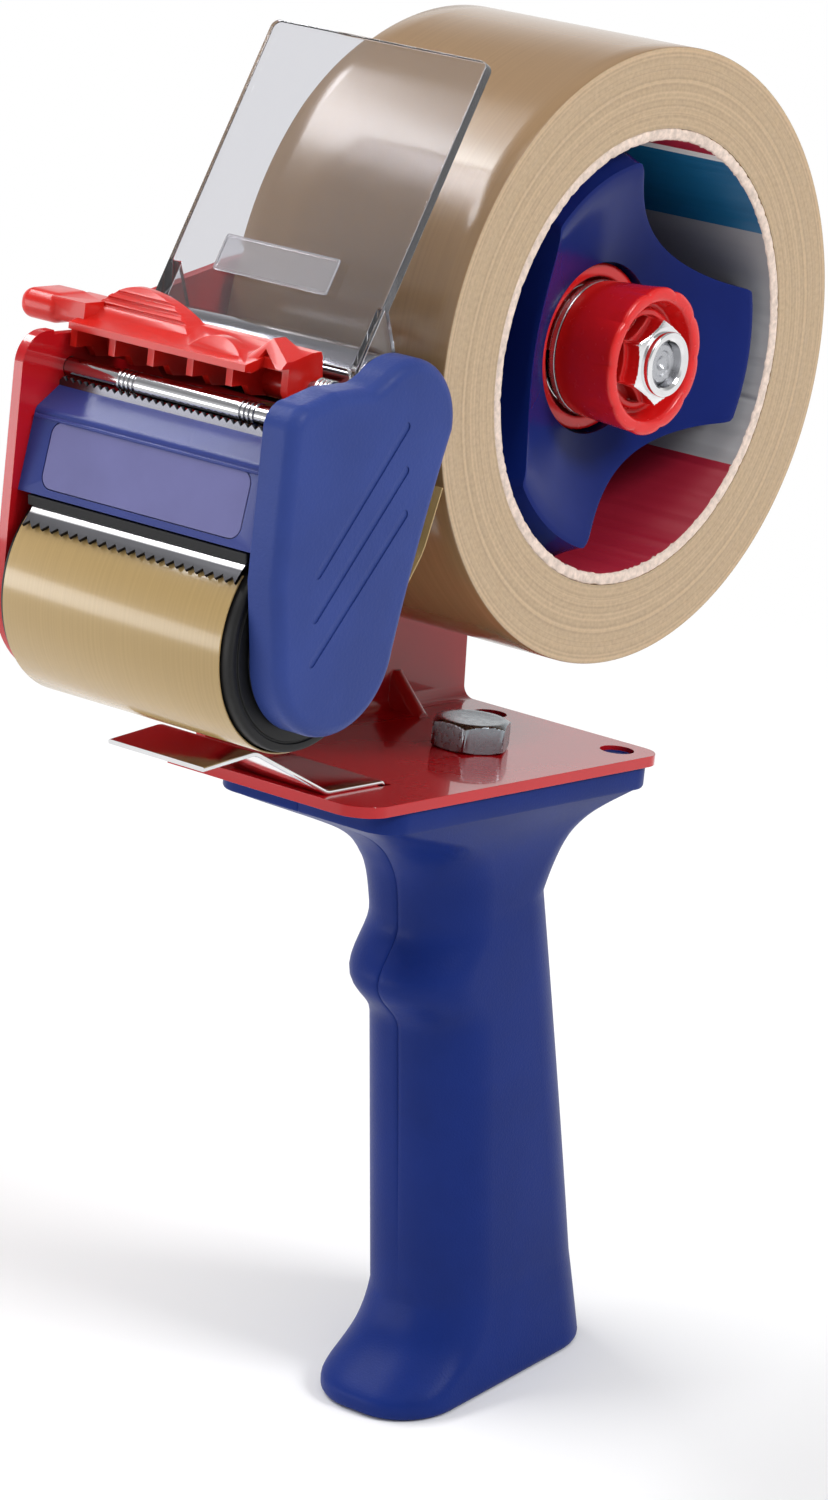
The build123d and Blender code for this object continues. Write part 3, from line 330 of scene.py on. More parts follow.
# %% Rubber, clear sheet and glowing red
def rubbery(name, colour):
    finish, tree, shader = new_finish(name)
    dust = grain(tree, 700, 5)
    vary_colour(tree, shader, dust, colour, 1.0, 1.9, 0.35, 0.8)
    relief(tree, shader, dust, 0.3, 0.00006)
    set_sockets(shader, {"Roughness": 0.5, "Specular IOR Level": 0.3})
    return finish


def clear_plastic(name, transmission):
    """Cast clear sheet, with the faint haze of handling."""
    finish, tree, shader = new_finish(name)
    vary_roughness(tree, shader, grain(tree, 60, 5), 0.0, 0.012)
    set_sockets(shader, {"Base Color": (0.72, 0.72, 0.755, 1), "Transmission Weight": transmission,
                         "IOR": 1.49})
    return finish


def tinted_plastic(name, colour):
    """Glowing red plastic that lets a little light through."""
    finish, tree, shader = new_finish(name)
    vary_colour(tree, shader, grain(tree, 80, 3), colour, 0.93, 1.05)
    relief(tree, shader, grain(tree, 1400, 2), 0.25, 0.00004)
    set_sockets(shader, {"Roughness": 0.28, "Specular IOR Level": 0.3, "Coat Weight": 0.1,
                         "Subsurface Weight": 0.18, "Subsurface Radius": (0.004, 0.0008, 0.0005),
                         "Subsurface Scale": 1.0})
    return finish


RUBBER = rubbery("rubber", tint(14, 14, 15))
CLEAR = clear_plastic("clear", 0.975)
FROSTED = clear_plastic("frosted", 0.7)
LEVER_RED = tinted_plastic("lever_red", tint(204, 30, 22))
print("soft and clear:", RUBBER.name, CLEAR.name, LEVER_RED.name)

# %% [markdown]
# ### Tape
# The tape has two faces.  Its outside is a stretched film, smooth and glossy with
# faint streaks round the roll.  Its side is hundreds of film edges, which read as fine
# rings.  Rings need the distance from the spindle, so the node tree works out that
# distance from the object coordinates and feeds it to a one-dimensional noise.

# %% The side and the face of the tape
# A Mix node has two inputs and a result for each kind of value, all found by number.
MIX_NUMBERS, MIXED_NUMBER = (2, 3), 0
MIX_COLOURS, MIXED_COLOUR = (6, 7), 2


def spindle_distance(tree):
    """Distance from the spindle's axis, in metres."""
    offset = vector_maths(tree, "SUBTRACT", object_place(tree), SPINDLE)
    return vector_maths(tree, "LENGTH", vector_maths(tree, "MULTIPLY", offset, (1, 0, 1)))


def ring_noise(tree, scale):
    """Noise that changes only with the distance from the spindle."""
    texture = add_node(tree, "ShaderNodeTexNoise", noise_dimensions="1D")
    set_sockets(texture, {"Scale": scale, "Detail": 4})
    join(tree, spindle_distance(tree), texture.inputs["W"])
    return texture.outputs["Fac"]


def wound_side(name, colour):
    """Film edges seen from the side: rings, with specks among them."""
    finish, tree, shader = new_finish(name)
    mix = add_node(tree, "ShaderNodeMix", data_type="FLOAT")
    mix.inputs["Factor"].default_value = 0.45
    for socket, source in zip(MIX_NUMBERS, (ring_noise(tree, 1500), grain(tree, 1300, 4))):
        join(tree, source, mix.inputs[socket])
    layers = mix.outputs[MIXED_NUMBER]
    vary_colour(tree, shader, layers, colour, 0.78, 1.12, 0.34, 0.66)
    relief(tree, shader, layers, 0.35, 0.00012)
    set_sockets(shader, {"Roughness": 0.55, "Subsurface Weight": 0.15,
                         "Subsurface Radius": (0.003, 0.002, 0.001), "Subsurface Scale": 1.0})
    return finish


def film(name, colour):
    """Stretched film: glossy, with long faint streaks that run the way it was pulled."""
    finish, tree, shader = new_finish(name)
    streaks = grain(tree, 60, 3, (0.2, 30, 0.2))
    vary_colour(tree, shader, streaks, colour, 0.94, 1.05)
    relief(tree, shader, streaks, 0.12, 0.00005)
    set_sockets(shader, {"Roughness": 0.2, "Specular IOR Level": 0.45,
                         "Coat Weight": 0.3, "Coat Roughness": 0.12})
    return finish


TAPE_SIDE = wound_side("tape_side", tint(188, 163, 132))
# The roll's outside and the free tape are one film in a darker and a lighter copy: painted shade on the
# roll, painted light on the free tape.
TAPE_FILM = film("tape_film", tint(144, 114, 80))
WRAP_FILM_PAINTED_LIGHTER = film("wrap_film_painted_lighter", tint(176, 148, 98))
print("tape finishes:", TAPE_SIDE.name, TAPE_FILM.name, WRAP_FILM_PAINTED_LIGHTER.name)

# %% [markdown]
# ### Board
# The tube in the roll is wound from soft board.  Its fibres are short and lie mostly
# round the tube, and it has almost no shine.

# %% Board
def board(name, colour):
    """Pressed fibre, rough and dull."""
    finish, tree, shader = new_finish(name)
    fibre = grain(tree, 900, 5, (1, 3, 1))
    vary_colour(tree, shader, fibre, colour, 0.72, 1.1)
    relief(tree, shader, fibre, 0.5, 0.00015)
    set_sockets(shader, {"Roughness": 0.85})
    return finish


BOARD = board("board", tint(196, 172, 138))
print("board:", BOARD.name)

# %% [markdown]
# ### Who wears what
# Each CAD node gets its finish on its own material slot, and its shape isn't touched.
# The nodes that get a rounded copy further on hand the same finish to that copy.

# %% Finishes on the CAD pieces
FINISH_OF = {
    "steel_frame": FRAME_RED, "handle": GRIP_BLUE, "handle_bolt": ZINC_DARKER, "handle_nut": ZINC,
    "spring_clip": BRIGHT, "hub": HUB_BLUE, "hub_bearing": BLACK_PLASTIC, "hub_flange": HUB_BLUE,
    "paper_core": BOARD, "tape_roll": TAPE_SIDE, "tape_run": WRAP_FILM_PAINTED_LIGHTER, "spindle_bolt": ZINC,
    "spindle_nut": ZINC, "brake_cup": KNOB_RED, "brake_spring": BRIGHT, "brake_washer": ZINC,
    "brake_knob": KNOB_RED, "brake_nut": BRIGHT, "roller_tyre": RUBBER, "roller_core": GREY_PLASTIC,
    "roller_bushes": BLACK_PLASTIC, "roller_axle": ZINC, "guide_roller": STEEL_PAINTED_DARK, "guide_pin": ZINC,
    "clear_flap": CLEAR, "press_lever": LEVER_RED, "lever_pin": ZINC, "lever_spring": BRIGHT,
    "lever_rod": ROD_STEEL, "toothed_strip": STRIP_STEEL, "front_guard": BODY_BLUE,
    "guard_panel": PANEL_FILM, "guard_screws": ZINC, "tear_blade": BLADE_WITH_PAINTED_BAND,
    "blade_holder": BLACK_PLASTIC, "side_cover": COVER_BLUE,
}
for node_name, finish in FINISH_OF.items():
    mesh = nodes[node_name].data
    mesh.materials.clear()
    mesh.materials.append(finish)
print(len(FINISH_OF), "nodes have a finish")

# %% [markdown]
# ## Making pieces
# Most pieces here are either turned, such as the roll, the knob and the tyre, or
# drawn as an outline and given thickness.  Both are a row of closed rings with faces
# between them, built straight in mesh code, because then every size is a number in
# millimetres that can be set against the real thing.

# %% Pieces and rings of faces
QUARTERS = ((1, 1), (-1, 1), (-1, -1), (1, -1))


def put(name, data):
    """A new object in the scene."""
    thing = bpy.data.objects.new(name, data)
    bpy.context.scene.collection.objects.link(thing)
    return thing


def new_piece(name, bm, finishes, body, slot, *replaced, turn=38):
    """Makes a bmesh, already in frame metres, into a piece that rides on a body."""
    bmesh.ops.recalc_face_normals(bm, faces=bm.faces)
    mesh = bpy.data.meshes.new(name)
    bm.to_mesh(mesh)
    bm.free()
    for finish in finishes:
        mesh.materials.append(finish)
    mesh.shade_smooth()
    mesh.set_sharp_from_angle(angle=radians(turn))
    thing = put(name, mesh)
    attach(thing, body)
    if replaced:
        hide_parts(*replaced)
    return thing


def bridge(bm, ring, other, finish=0):
    """A band of four-sided faces between two closed rings."""
    count = len(ring)
    for n in range(count):
        after = (n + 1) % count
        face = bm.faces.new((ring[n], ring[after], other[after], other[n]))
        face.material_index = finish


def skin(bm, rows):
    """Joins closed rows of frame points into one surface, its two ends filled."""
    rings = [[bm.verts.new(point) for point in row] for row in rows]
    for ring, other in zip(rings, rings[1:]):
        bridge(bm, ring, other)
    bm.faces.new(rings[0])
    bm.faces.new(rings[-1])


bm = bmesh.new()
skin(bm, [[(x, y, z) for x, y in QUARTERS] for z in (0, 1)])
print("two squares and the band between them make", len(bm.faces), "faces")
bm.free()

# %% [markdown]
# A real edge is never perfectly sharp.  So a line is drawn with plain corners, and
# then softened in one of two ways: a small curve that only takes the corner off, for
# moulded and turned pieces, or a true bend of a given radius, for sheet and tape.

# %% Lines, arcs and bends
def rounded(points, radius, steps=4, closed=True):
    """Softens the corners of a line; a corner's own radius may be its third value."""
    count = len(points)
    line = []
    for n, point in enumerate(points):
        own = point[2] if len(point) > 2 else radius
        if own == 0 or (not closed and n in (0, count - 1)):
            line.append((point[0], point[1]))
            continue
        before, after = points[n - 1], points[(n + 1) % count]
        ends = []
        for other in (before, after):
            length = hypot(other[0] - point[0], other[1] - point[1])
            share = min(own, 0.45 * length) / length
            ends.append((point[0] + share * (other[0] - point[0]),
                         point[1] + share * (other[1] - point[1])))
        for step in range(steps + 1):
            t = step / steps
            line.append(tuple((1 - t) ** 2 * ends[0][axis] + 2 * t * (1 - t) * point[axis]
                              + t * t * ends[1][axis] for axis in (0, 1)))
    return line


def polar(centre, radius, angle):
    """Point on a circle, the angle in degrees."""
    return (centre[0] + radius * cos(radians(angle)), centre[1] + radius * sin(radians(angle)))


def arc(centre, radius, start, end, steps):
    """Points along an arc, the angles in degrees."""
    return [polar(centre, radius, start + (end - start) * n / steps) for n in range(steps + 1)]


def direction(centre, point):
    """Angle in degrees of the way from one place to another."""
    return degrees(atan2(point[1] - centre[1], point[0] - centre[0]))


def touch_point(centre, radius, point, hand):
    """Where a line from the point touches a circle; hand is +1 or -1."""
    distance = hypot(point[0] - centre[0], point[1] - centre[1])
    return polar(centre, radius, direction(centre, point) + hand * degrees(acos(radius / distance)))


def bent(points, radius, steps):
    """A line whose corners are bent to a true radius; a corner may have its own."""
    line = [points[0][:2]]
    for before, point, after in zip(points, points[1:], points[2:]):
        own = point[2] if len(point) > 2 else radius
        into = Vector(point[:2]) - Vector(before[:2])
        out = Vector(after[:2]) - Vector(point[:2])
        turn = into.angle_signed(out)
        start = Vector(point[:2]) - into.normalized() * own * abs(tan(turn / 2))
        side = Vector((into.y, -into.x)).normalized() * (own if turn > 0 else -own)
        middle = start + side
        spoke = start - middle
        for n in range(steps + 1):
            swing = -turn * n / steps
            line.append((middle.x + spoke.x * cos(swing) - spoke.y * sin(swing),
                         middle.y + spoke.x * sin(swing) + spoke.y * cos(swing)))
    line.append(points[-1][:2])
    return line


print("a quarter circle in 4 steps has", len(arc((0, 0), 1, 0, 90, 4)), "points")

# %% [markdown]
# The lathe turns a profile of (radius, y) points about an axle.  A shape function
# may move each point as it goes round, and that is how one lathe makes the lobes of
# the hub, the grips of the knob, the flats of a nut and the torn edge of the board.

# %% The lathe
def lathe(bm, profile, centre=(0.0, 0.0), steps=128, closed=True, shape=None, paint=None,
          place=at_head):
    """Turns a profile about a head Y axis; paint gives the finish of each row of faces."""
    rings = []
    for radius, y in profile:
        ring = []
        for n in range(steps):
            angle = 2 * pi * n / steps
            reach, depth = shape(angle, radius, y) if shape else (radius, y)
            ring.append(bm.verts.new(place(centre[0] + reach * cos(angle), depth,
                                           centre[1] + reach * sin(angle))))
        rings.append(ring)
    following = rings[1:] + rings[:1] if closed else rings[1:]
    for row, (ring, other) in enumerate(zip(rings, following)):
        bridge(bm, ring, other, paint(row) if paint else 0)


def turned(name, profile, finish, body, slot, *replaced, closed=True, turn=50, **how):
    """A lathe piece in one call; the two ends of an open profile are filled."""
    bm = bmesh.new()
    lathe(bm, profile, closed=closed, **how)
    if not closed:
        bmesh.ops.holes_fill(bm, edges=bm.edges)
    return new_piece(name, bm, [finish], body, slot, *replaced, turn=turn)


bm = bmesh.new()
lathe(bm, [(6.0, 0.0), (9.0, 0.0), (9.0, 4.0), (6.0, 4.0)], steps=24)
print("a plain washer in 24 steps has", len(bm.faces), "faces")
bm.free()

# %% [markdown]
# ## The roll of tape
# A new roll is a spiral of film, about seventy microns thick, wound on a board tube.
# Its outside is smooth.  Its side is not quite flat: each few layers stand a few
# hundredths of a millimetre proud or back, and that is what makes the rings that
# catch the light.  So the side is turned from many narrow steps with small random
# offsets from a fixed seed, and only the fine grain is left to the finish.

# %% The wound tape
ROLL_RADIUS = 54.25
CORE_RADIUS = 40.2
CORE_BORE = 38.1
HALF_TAPE = 24.0
LAYERS = 46
ROLL_EDGE = 0.25
OUTSIDE_HALF = HALF_TAPE - 0.3


def wound_profile(seed):
    """Side, outside and other side of the roll, and the rows that are its outside."""
    dice = random.Random(seed)
    near = []
    drift = 0.0
    for n in range(LAYERS + 1):
        radius = CORE_RADIUS + (ROLL_RADIUS - ROLL_EDGE - CORE_RADIUS) * n / LAYERS
        drift = 0.8 * drift + dice.uniform(-0.05, 0.05)
        near.append((radius, HALF_TAPE - (0.06 + max(0.0, drift + dice.uniform(0.0, 0.05)))))
    edge = [(ROLL_RADIUS - 0.08, HALF_TAPE - 0.12), (ROLL_RADIUS, OUTSIDE_HALF)]
    outside = [(ROLL_RADIUS, OUTSIDE_HALF - 2 * OUTSIDE_HALF * n / 12) for n in range(1, 12)]
    mirrored = [(radius, -y) for radius, y in reversed(near + edge)]
    outside_rows = range(len(near), len(near) + len(outside) + 2 * len(edge) - 1)
    return near + edge + outside + mirrored, outside_rows


profile, outside_rows = wound_profile(7)
bm = bmesh.new()
lathe(bm, profile, steps=256, paint=lambda row: 1 if row in outside_rows else 0)
roll = new_piece("wound_tape", bm, [TAPE_SIDE, TAPE_FILM], "roll", "tape", "tape_roll", turn=60)
print("wound tape:", len(roll.data.polygons), "faces")

# %% [markdown]
# The tube inside the roll is board.  Its cut edge is pale and slightly torn, and the
# paper of its bore is printed.  Here the print is only plain bands of colour that
# run along the tube: silver grey, teal, maroon and white.  A radial gradient read
# round the spindle gives the angle, and a ramp with hard steps turns it into bands.

# %% The printed paper
SILVER, TEAL = tint(158, 158, 160), tint(18, 98, 140)
MAROON, WHITE = tint(160, 26, 48), tint(222, 220, 216)
BANDS = [(0.0, SILVER), (0.118, MAROON), (0.33, SILVER), (0.45, TEAL), (0.56, WHITE), (0.575, MAROON),
         (0.7, SILVER), (0.78, MAROON), (0.842, WHITE), (0.852, TEAL), (0.936, SILVER)]


def banded_paper(name):
    """Printed paper: bands of colour by the angle about the spindle."""
    finish, tree, shader = new_finish(name)
    split = add_node(tree, "ShaderNodeSeparateXYZ")
    flat = add_node(tree, "ShaderNodeCombineXYZ")
    shift = add_node(tree, "ShaderNodeMapping", vector_type="POINT")
    shift.inputs["Location"].default_value = (-SPINDLE.x, -SPINDLE.z, 0)
    sweep = add_node(tree, "ShaderNodeTexGradient", gradient_type="RADIAL")
    join(tree, object_place(tree), split.inputs["Vector"])
    join(tree, split.outputs["X"], flat.inputs["X"])
    join(tree, split.outputs["Z"], flat.inputs["Y"])
    join(tree, flat.outputs["Vector"], shift.inputs["Vector"])
    join(tree, shift.outputs["Vector"], sweep.inputs["Vector"])
    bands = colour_ramp(tree, sweep.outputs["Fac"], BANDS, "CONSTANT")
    join(tree, bands, shader.inputs["Base Color"])
    relief(tree, shader, grain(tree, 500, 4), 0.25, 0.0001)
    set_sockets(shader, {"Roughness": 0.42})
    return finish


CORE_PAPER = banded_paper("core_paper")
CORE_EDGE = board("core_edge", tint(232, 212, 198))
print("printed paper:", len(BANDS), "bands")


# %% The board tube
def torn(angle, radius, y):
    """Roughens the cut edge of the board by about a quarter of a millimetre at most."""
    if y < HALF_TAPE - 1:
        return radius, y
    ragged = noise.noise(Vector((60 * cos(angle), 60 * sin(angle), radius)))
    return radius + 0.26 * ragged, y - 0.25 * abs(ragged)


TUBE_OUTSIDE = CORE_RADIUS - 0.02
bm = bmesh.new()
lathe(bm, [(CORE_BORE, -HALF_TAPE), (CORE_BORE, HALF_TAPE - 0.35), (CORE_BORE + 0.3, HALF_TAPE - 0.05),
           (CORE_BORE + 1.0, HALF_TAPE), (CORE_RADIUS - 0.3, HALF_TAPE), (TUBE_OUTSIDE, HALF_TAPE - 0.2),
           (TUBE_OUTSIDE, -HALF_TAPE)], steps=360, shape=torn, paint=lambda row: 0 if row == 0 else 1)
core = new_piece("board_tube", bm, [CORE_PAPER, CORE_EDGE], "roll", "board", "paper_core", turn=60)
print("board tube:", len(core.data.polygons), "faces")

# %% [markdown]
# ## The hub
# Three lobes hold the tube, with deep hollows between them for the fingers, and the
# face is dished towards the brake.  The outline is worked out as a radius for each
# angle: the smaller of the hub's circle and the three hollows.  A soft minimum takes
# the place of a plain one, and that rounds the lobes' corners as a mould would.

# %% The hub's outline
HUB_RADIUS = 37.8
HUB_RIM_RADIUS = 34.6
HUB_RIM = 22.6
HOLLOW_CENTRE = 74.3
HOLLOW_RADIUS = 52.6
HUB_PHASE = radians(3.5)
LOBE_CRISPNESS = 1.8


def soft_least(values, crispness):
    """The least of some values, rounded off where two of them are close."""
    scaled = [-crispness * value for value in values]
    top = max(scaled)
    return -(top + log(sum(exp(value - top) for value in scaled))) / crispness


def hub_reach(angle, radius):
    """Distance from the spindle to the hub's edge at an angle."""
    reaches = [radius]
    for lobe in range(3):
        swing = angle - HUB_PHASE - 2 * pi * lobe / 3
        off_axis = HOLLOW_CENTRE * sin(swing)
        if cos(swing) > 0 and abs(off_axis) < HOLLOW_RADIUS:
            reaches.append(HOLLOW_CENTRE * cos(swing) - sqrt(HOLLOW_RADIUS ** 2 - off_axis ** 2))
    return soft_least(reaches, LOBE_CRISPNESS)


print("the hub reaches", [round(hub_reach(radians(a), HUB_RADIUS), 1) for a in (3.5, 63.5)], "mm")

# %% [markdown]
# The lathe turns the hub too.  Its profile doesn't hold radii but the names of rows:
# up the wall, over the rounded edge, down the dished face and through the stepped
# bore.  The shape function knows where each row lies at each angle.

# %% The hub's rows
DISH_SLOPE = 0.46
DISH_BLEND = 0.16
DISH_START = HUB_RIM_RADIUS - 1.6
EDGE_WIDTH = 1.2
CUP_SEAT = 15.2
# Radius and y of the stepped bore: the mouth and floor of the cup's seat, then the bearing's.
SEATS = [(15.1, 12.2), (15.1, 11.4), (13.9, 11.4), (13.9, -HALF_TAPE)]
HUB_ROWS = [("far", 0), ("wall", 0), ("shoulder", 0), ("edge", 0.18), ("edge", 0.7)]
HUB_ROWS += [("face", share) for share in (0.0, 0.15, 0.3, 0.45, 0.6, 0.75, 0.9, 1.0)]
HUB_ROWS += [("seat", step) for step in range(len(SEATS))]


def dish_height(radius):
    """Height of the dished face at a distance from the spindle."""
    dip = DISH_SLOPE * (DISH_START - radius)
    return HUB_RIM - (dip + sqrt(dip * dip + DISH_BLEND)) / 2


def hub_point(angle, row, share):
    """Radius and y of a row of the hub at an angle."""
    if row == "seat":
        return SEATS[share]
    if row in ("far", "wall"):
        full = hub_reach(angle, HUB_RADIUS)
        return full, -HALF_TAPE if row == "far" else min(HUB_RIM - 6.0, dish_height(full) - 1.4)
    top = hub_reach(angle, HUB_RIM_RADIUS)
    if row == "shoulder":
        return top, dish_height(top) - 0.7
    if row == "edge":
        return top - share, dish_height(top - share) - 0.25 * (0.7 - share) ** 2
    radius = (top - EDGE_WIDTH) + share * (CUP_SEAT - top + EDGE_WIDTH)
    return radius, dish_height(radius)


hub = turned("lobed_hub", HUB_ROWS, HUB_BLUE, "roll", "body_blue", "hub", turn=45, steps=288,
             shape=hub_point)
print("hub:", len(hub.data.polygons), "faces")

# %% [markdown]
# ## The brake
# A red cup sits in the hub, a bright spring in the cup, and the knob presses on the
# spring.  The knob's barrel is plain, and ten shallow grips swell only towards its
# open end, so the lathe's shape function deepens the valleys as the wall goes out.

# %% The cup
THREAD_HOLE = 4.1
CUP_UNDER, CUP_FLOOR, CUP_FACE = 3.6, 5.06, 13.06
CUP_WALL, CUP_WELL, CUP_LIP, LIP_THICK = 13.75, 12.3, 14.8, 1.5
cup_profile = [(THREAD_HOLE, CUP_UNDER, 0), (CUP_WALL, CUP_UNDER), (CUP_WALL, CUP_FACE - LIP_THICK, 0.2),
               (CUP_LIP, CUP_FACE - LIP_THICK), (CUP_LIP, CUP_FACE), (CUP_WELL, CUP_FACE),
               (CUP_WELL, CUP_FLOOR, 0.2), (THREAD_HOLE, CUP_FLOOR, 0)]
turned("brake_cup_turned", rounded(cup_profile, 0.7), KNOB_RED, "frame", "knob_red", "brake_cup", steps=144)
print("cup: face at", CUP_FACE, "mm, well", round(CUP_FACE - CUP_FLOOR, 2), "mm deep")

# %% The knob
KNOB_FAR = CUP_FACE + 1.3
KNOB_NEAR = KNOB_FAR + 13.0
KNOB_WELL = KNOB_NEAR - 4.0
GRIPPED_RADIUS = 11.4
GRIPS, GRIP_DEPTH = 10, 0.5


def grips(angle, radius, y):
    """Shape for the lathe: valleys in the outer half of the barrel's outside."""
    if radius < GRIPPED_RADIUS:
        return radius, y
    share = max(0.0, (y - KNOB_FAR) / (KNOB_NEAR - KNOB_FAR) - 0.5) / 0.5
    valley = (1 - abs(sin(GRIPS / 2 * angle))) ** 2
    return radius - GRIP_DEPTH * share ** 1.2 * valley, y


barrel = [(12.0, KNOB_FAR, 0.5), (12.3, KNOB_FAR + 4, 0), (12.55, KNOB_FAR + 8, 0),
          (12.85, KNOB_FAR + 11, 0), (13.15, KNOB_NEAR, 1.7)]
well = [(10.5, KNOB_NEAR, 0.9), (9.95, KNOB_WELL, 0.7), (8.9, KNOB_WELL, 0.3),
        (8.8, KNOB_WELL + 1.0, 0.45), (7.7, KNOB_WELL + 1.0, 0.3), (7.65, KNOB_WELL - 0.9, 0.2),
        (4.2, KNOB_WELL - 0.9, 0), (4.2, KNOB_FAR, 0)]
turned("brake_knob_turned", rounded(barrel + well, 0.3), KNOB_RED, "brake_grip", "knob_red", "brake_knob",
       steps=360, shape=grips)
print("knob: near face at", round(KNOB_NEAR, 2))

# %% [markdown]
# ## Bolts and nuts
# A forged hexagon is never a plain prism: its corners are turned off at about thirty
# degrees, which leaves the curved lines that a bolt is known by.  Here every ring of
# the lathe is the smaller of a hexagon and a circle, and the circle shrinks towards
# the ends.  The lock nut also has a round collar that holds its insert.

# %% Hexagons
M8_FLATS = 13.0
M8_RADIUS = 4.0
HEAD_HEIGHT = 5.3


def hexagon(angle, radius, y):
    """Shape for the lathe: an M8 hexagon, held inside each ring's own circle."""
    swing = (angle + pi / 6) % (pi / 3) - pi / 6
    return min(radius, M8_FLATS / 2 / cos(swing)), y


def hexagon_rows(base, top):
    """Rings of a hexagon whose ends are turned off; radius is the limiting circle."""
    corner = M8_FLATS / sqrt(3)
    rows = []
    for end, height in ((base, 0.55), (top, -0.75)):
        for n in range(6):
            share = (5 - n) / 5 if height > 0 else n / 5
            rows.append((corner - share * (corner - M8_FLATS / 2 + 0.35), end + (1 - share) * height))
    return rows


print("an M8 hexagon is", round(2 * M8_FLATS / sqrt(3), 2), "mm over its corners")

# %% The brake nut
NUT_SEAT = KNOB_WELL - 1
NUT_TOP = NUT_SEAT + 6.5
collar = rounded([(5.75, NUT_TOP), (5.75, NUT_TOP + 1.4), (4.7, NUT_TOP + 1.4),
                  (THREAD_HOLE, NUT_TOP + 0.9)], 0.5, closed=False)
turned("brake_nut_forged", hexagon_rows(NUT_SEAT, NUT_TOP) + collar + [(THREAD_HOLE, NUT_SEAT)], BRIGHT,
       "brake_grip", "zinc", "brake_nut", turn=32, steps=180, shape=hexagon)
print("nut from", round(NUT_SEAT, 2), "to", round(NUT_TOP + 1.4, 2))

# %% The spindle bolt
BOLT_TIP = KNOB_NEAR + 1.4
HEAD_FACE = -28.0
HEAD_BACK = HEAD_FACE - HEAD_HEIGHT
crown = [(0.9, HEAD_FACE - 5.2), (5.6, HEAD_BACK)]
shank = [(M8_RADIUS, HEAD_FACE), (M8_RADIUS, BOLT_TIP - 0.9), (3.2, BOLT_TIP), (2.3, BOLT_TIP),
         (2.1, BOLT_TIP - 0.25), (1.3, BOLT_TIP - 0.25), (0.5, BOLT_TIP - 0.75)]
turned("spindle_bolt_forged", crown + hexagon_rows(HEAD_BACK, HEAD_FACE) + shank, ZINC, "frame", "zinc",
       "spindle_bolt", closed=False, turn=32, steps=144, shape=hexagon)
print("spindle bolt:", round(BOLT_TIP - HEAD_FACE, 1), "mm under its head")

# %% The handle bolt
PLATE_TOP = -74.5
BOLT_X = 5.0
SHANK_LENGTH = 45.0


def on_plate(reach, height, across):
    """Lathe place for a piece that stands on the plate, its axis square to the sheet."""
    return at_head(BOLT_X + reach, across, PLATE_TOP + height)


turned("handle_bolt_forged", [(M8_RADIUS, -SHANK_LENGTH), (M8_RADIUS, 0.0)] + hexagon_rows(0.0, HEAD_HEIGHT)
       + [(5.3, HEAD_HEIGHT), (4.9, 5.22), (0.6, 5.2)], ZINC_DARKER, "frame", "zinc", "handle_bolt",
       closed=False, turn=32, steps=180, shape=hexagon, place=on_plate)
print("bolt head on the plate at head x", BOLT_X)

# %% [markdown]
# ## The applicator and the tape on it
# The rubber tyre is turned, with softened shoulders and a shallow ring moulded in
# each end.  Each end is drawn once, from the bore outwards, and the near one is
# turned round.  The guide roller behind and above it is a plain plated tube, whose
# colour is painted dark in place of the dark it reflects: painted shade.

# %% Tyre and guide roller
TYRE_BORE, TYRE_RADIUS = 14.5, 18.9
TYRE_FAR, TYRE_NEAR = -25.3, 26.0
GUIDE_BORE, GUIDE_RADIUS = 2.56, 6.5
GUIDE_FAR, GUIDE_NEAR = -20.7, 21.7


def tyre_end(end, inwards):
    """Profile of one end of the tyre, with its shallow ring."""
    sunk = end + inwards * 0.3
    return [(TYRE_BORE, end, 0), (16.9, end, 0.1), (17.0, sunk, 0.1), (17.3, sunk, 0.1),
            (17.4, end, 0.1), (TYRE_RADIUS, end, 1.1)]


turned("tyre_turned", rounded(tyre_end(TYRE_FAR, 1) + tyre_end(TYRE_NEAR, -1)[::-1], 0.3), RUBBER,
       "applicator", "rubber", "roller_tyre", turn=60, centre=ROLLER, steps=160)
turned("guide_roller_turned",
       rounded([(GUIDE_BORE, GUIDE_FAR, 0), (GUIDE_RADIUS, GUIDE_FAR),
                (GUIDE_RADIUS, GUIDE_NEAR), (GUIDE_BORE, GUIDE_NEAR, 0)], 0.5),
       STEEL_PAINTED_DARK, "guide", "bright", "guide_roller", centre=GUIDE, steps=128)
print("tyre:", round(TYRE_NEAR - TYRE_FAR, 1), "mm wide")

# %% [markdown]
# Sheet, film and spring strip are all one thing in the mesh: a thin rounded section
# that is carried along a bent line.  The free tape leaves the roll, turns down
# towards the applicator, and wraps its front up to the blade.  Its line is a circle
# round the roller, a line that touches it, and an easy bend towards the roll.

# %% The free length of tape
TAPE_SHEET = 0.3
WRAP_RADIUS = 19.35
WRAP_END = 398  # degrees, past one full turn, so that the arc runs on to the blade
EASY_BEND = 14.0


def bent_sheet(bm, path, thickness, half_width, edge):
    """Strip of sheet along a side-view path, its cut edges rounded."""
    half = thickness / 2
    section = []
    for quarter, (side, face) in enumerate(QUARTERS):
        for n in range(4):
            swing = radians(90 * quarter + 30 * n)
            section.append((side * (half_width - edge) + edge * cos(swing),
                            face * (half - edge) + edge * sin(swing)))
    rows = []
    for n, point in enumerate(path):
        before, after = path[max(n - 1, 0)], path[min(n + 1, len(path) - 1)]
        along = Vector((after[0] - before[0], after[1] - before[1])).normalized()
        normal = Vector((-along.y, along.x))
        rows.append([at_head(point[0] + normal.x * z, y, point[1] + normal.y * z) for y, z in section])
    skin(bm, rows)


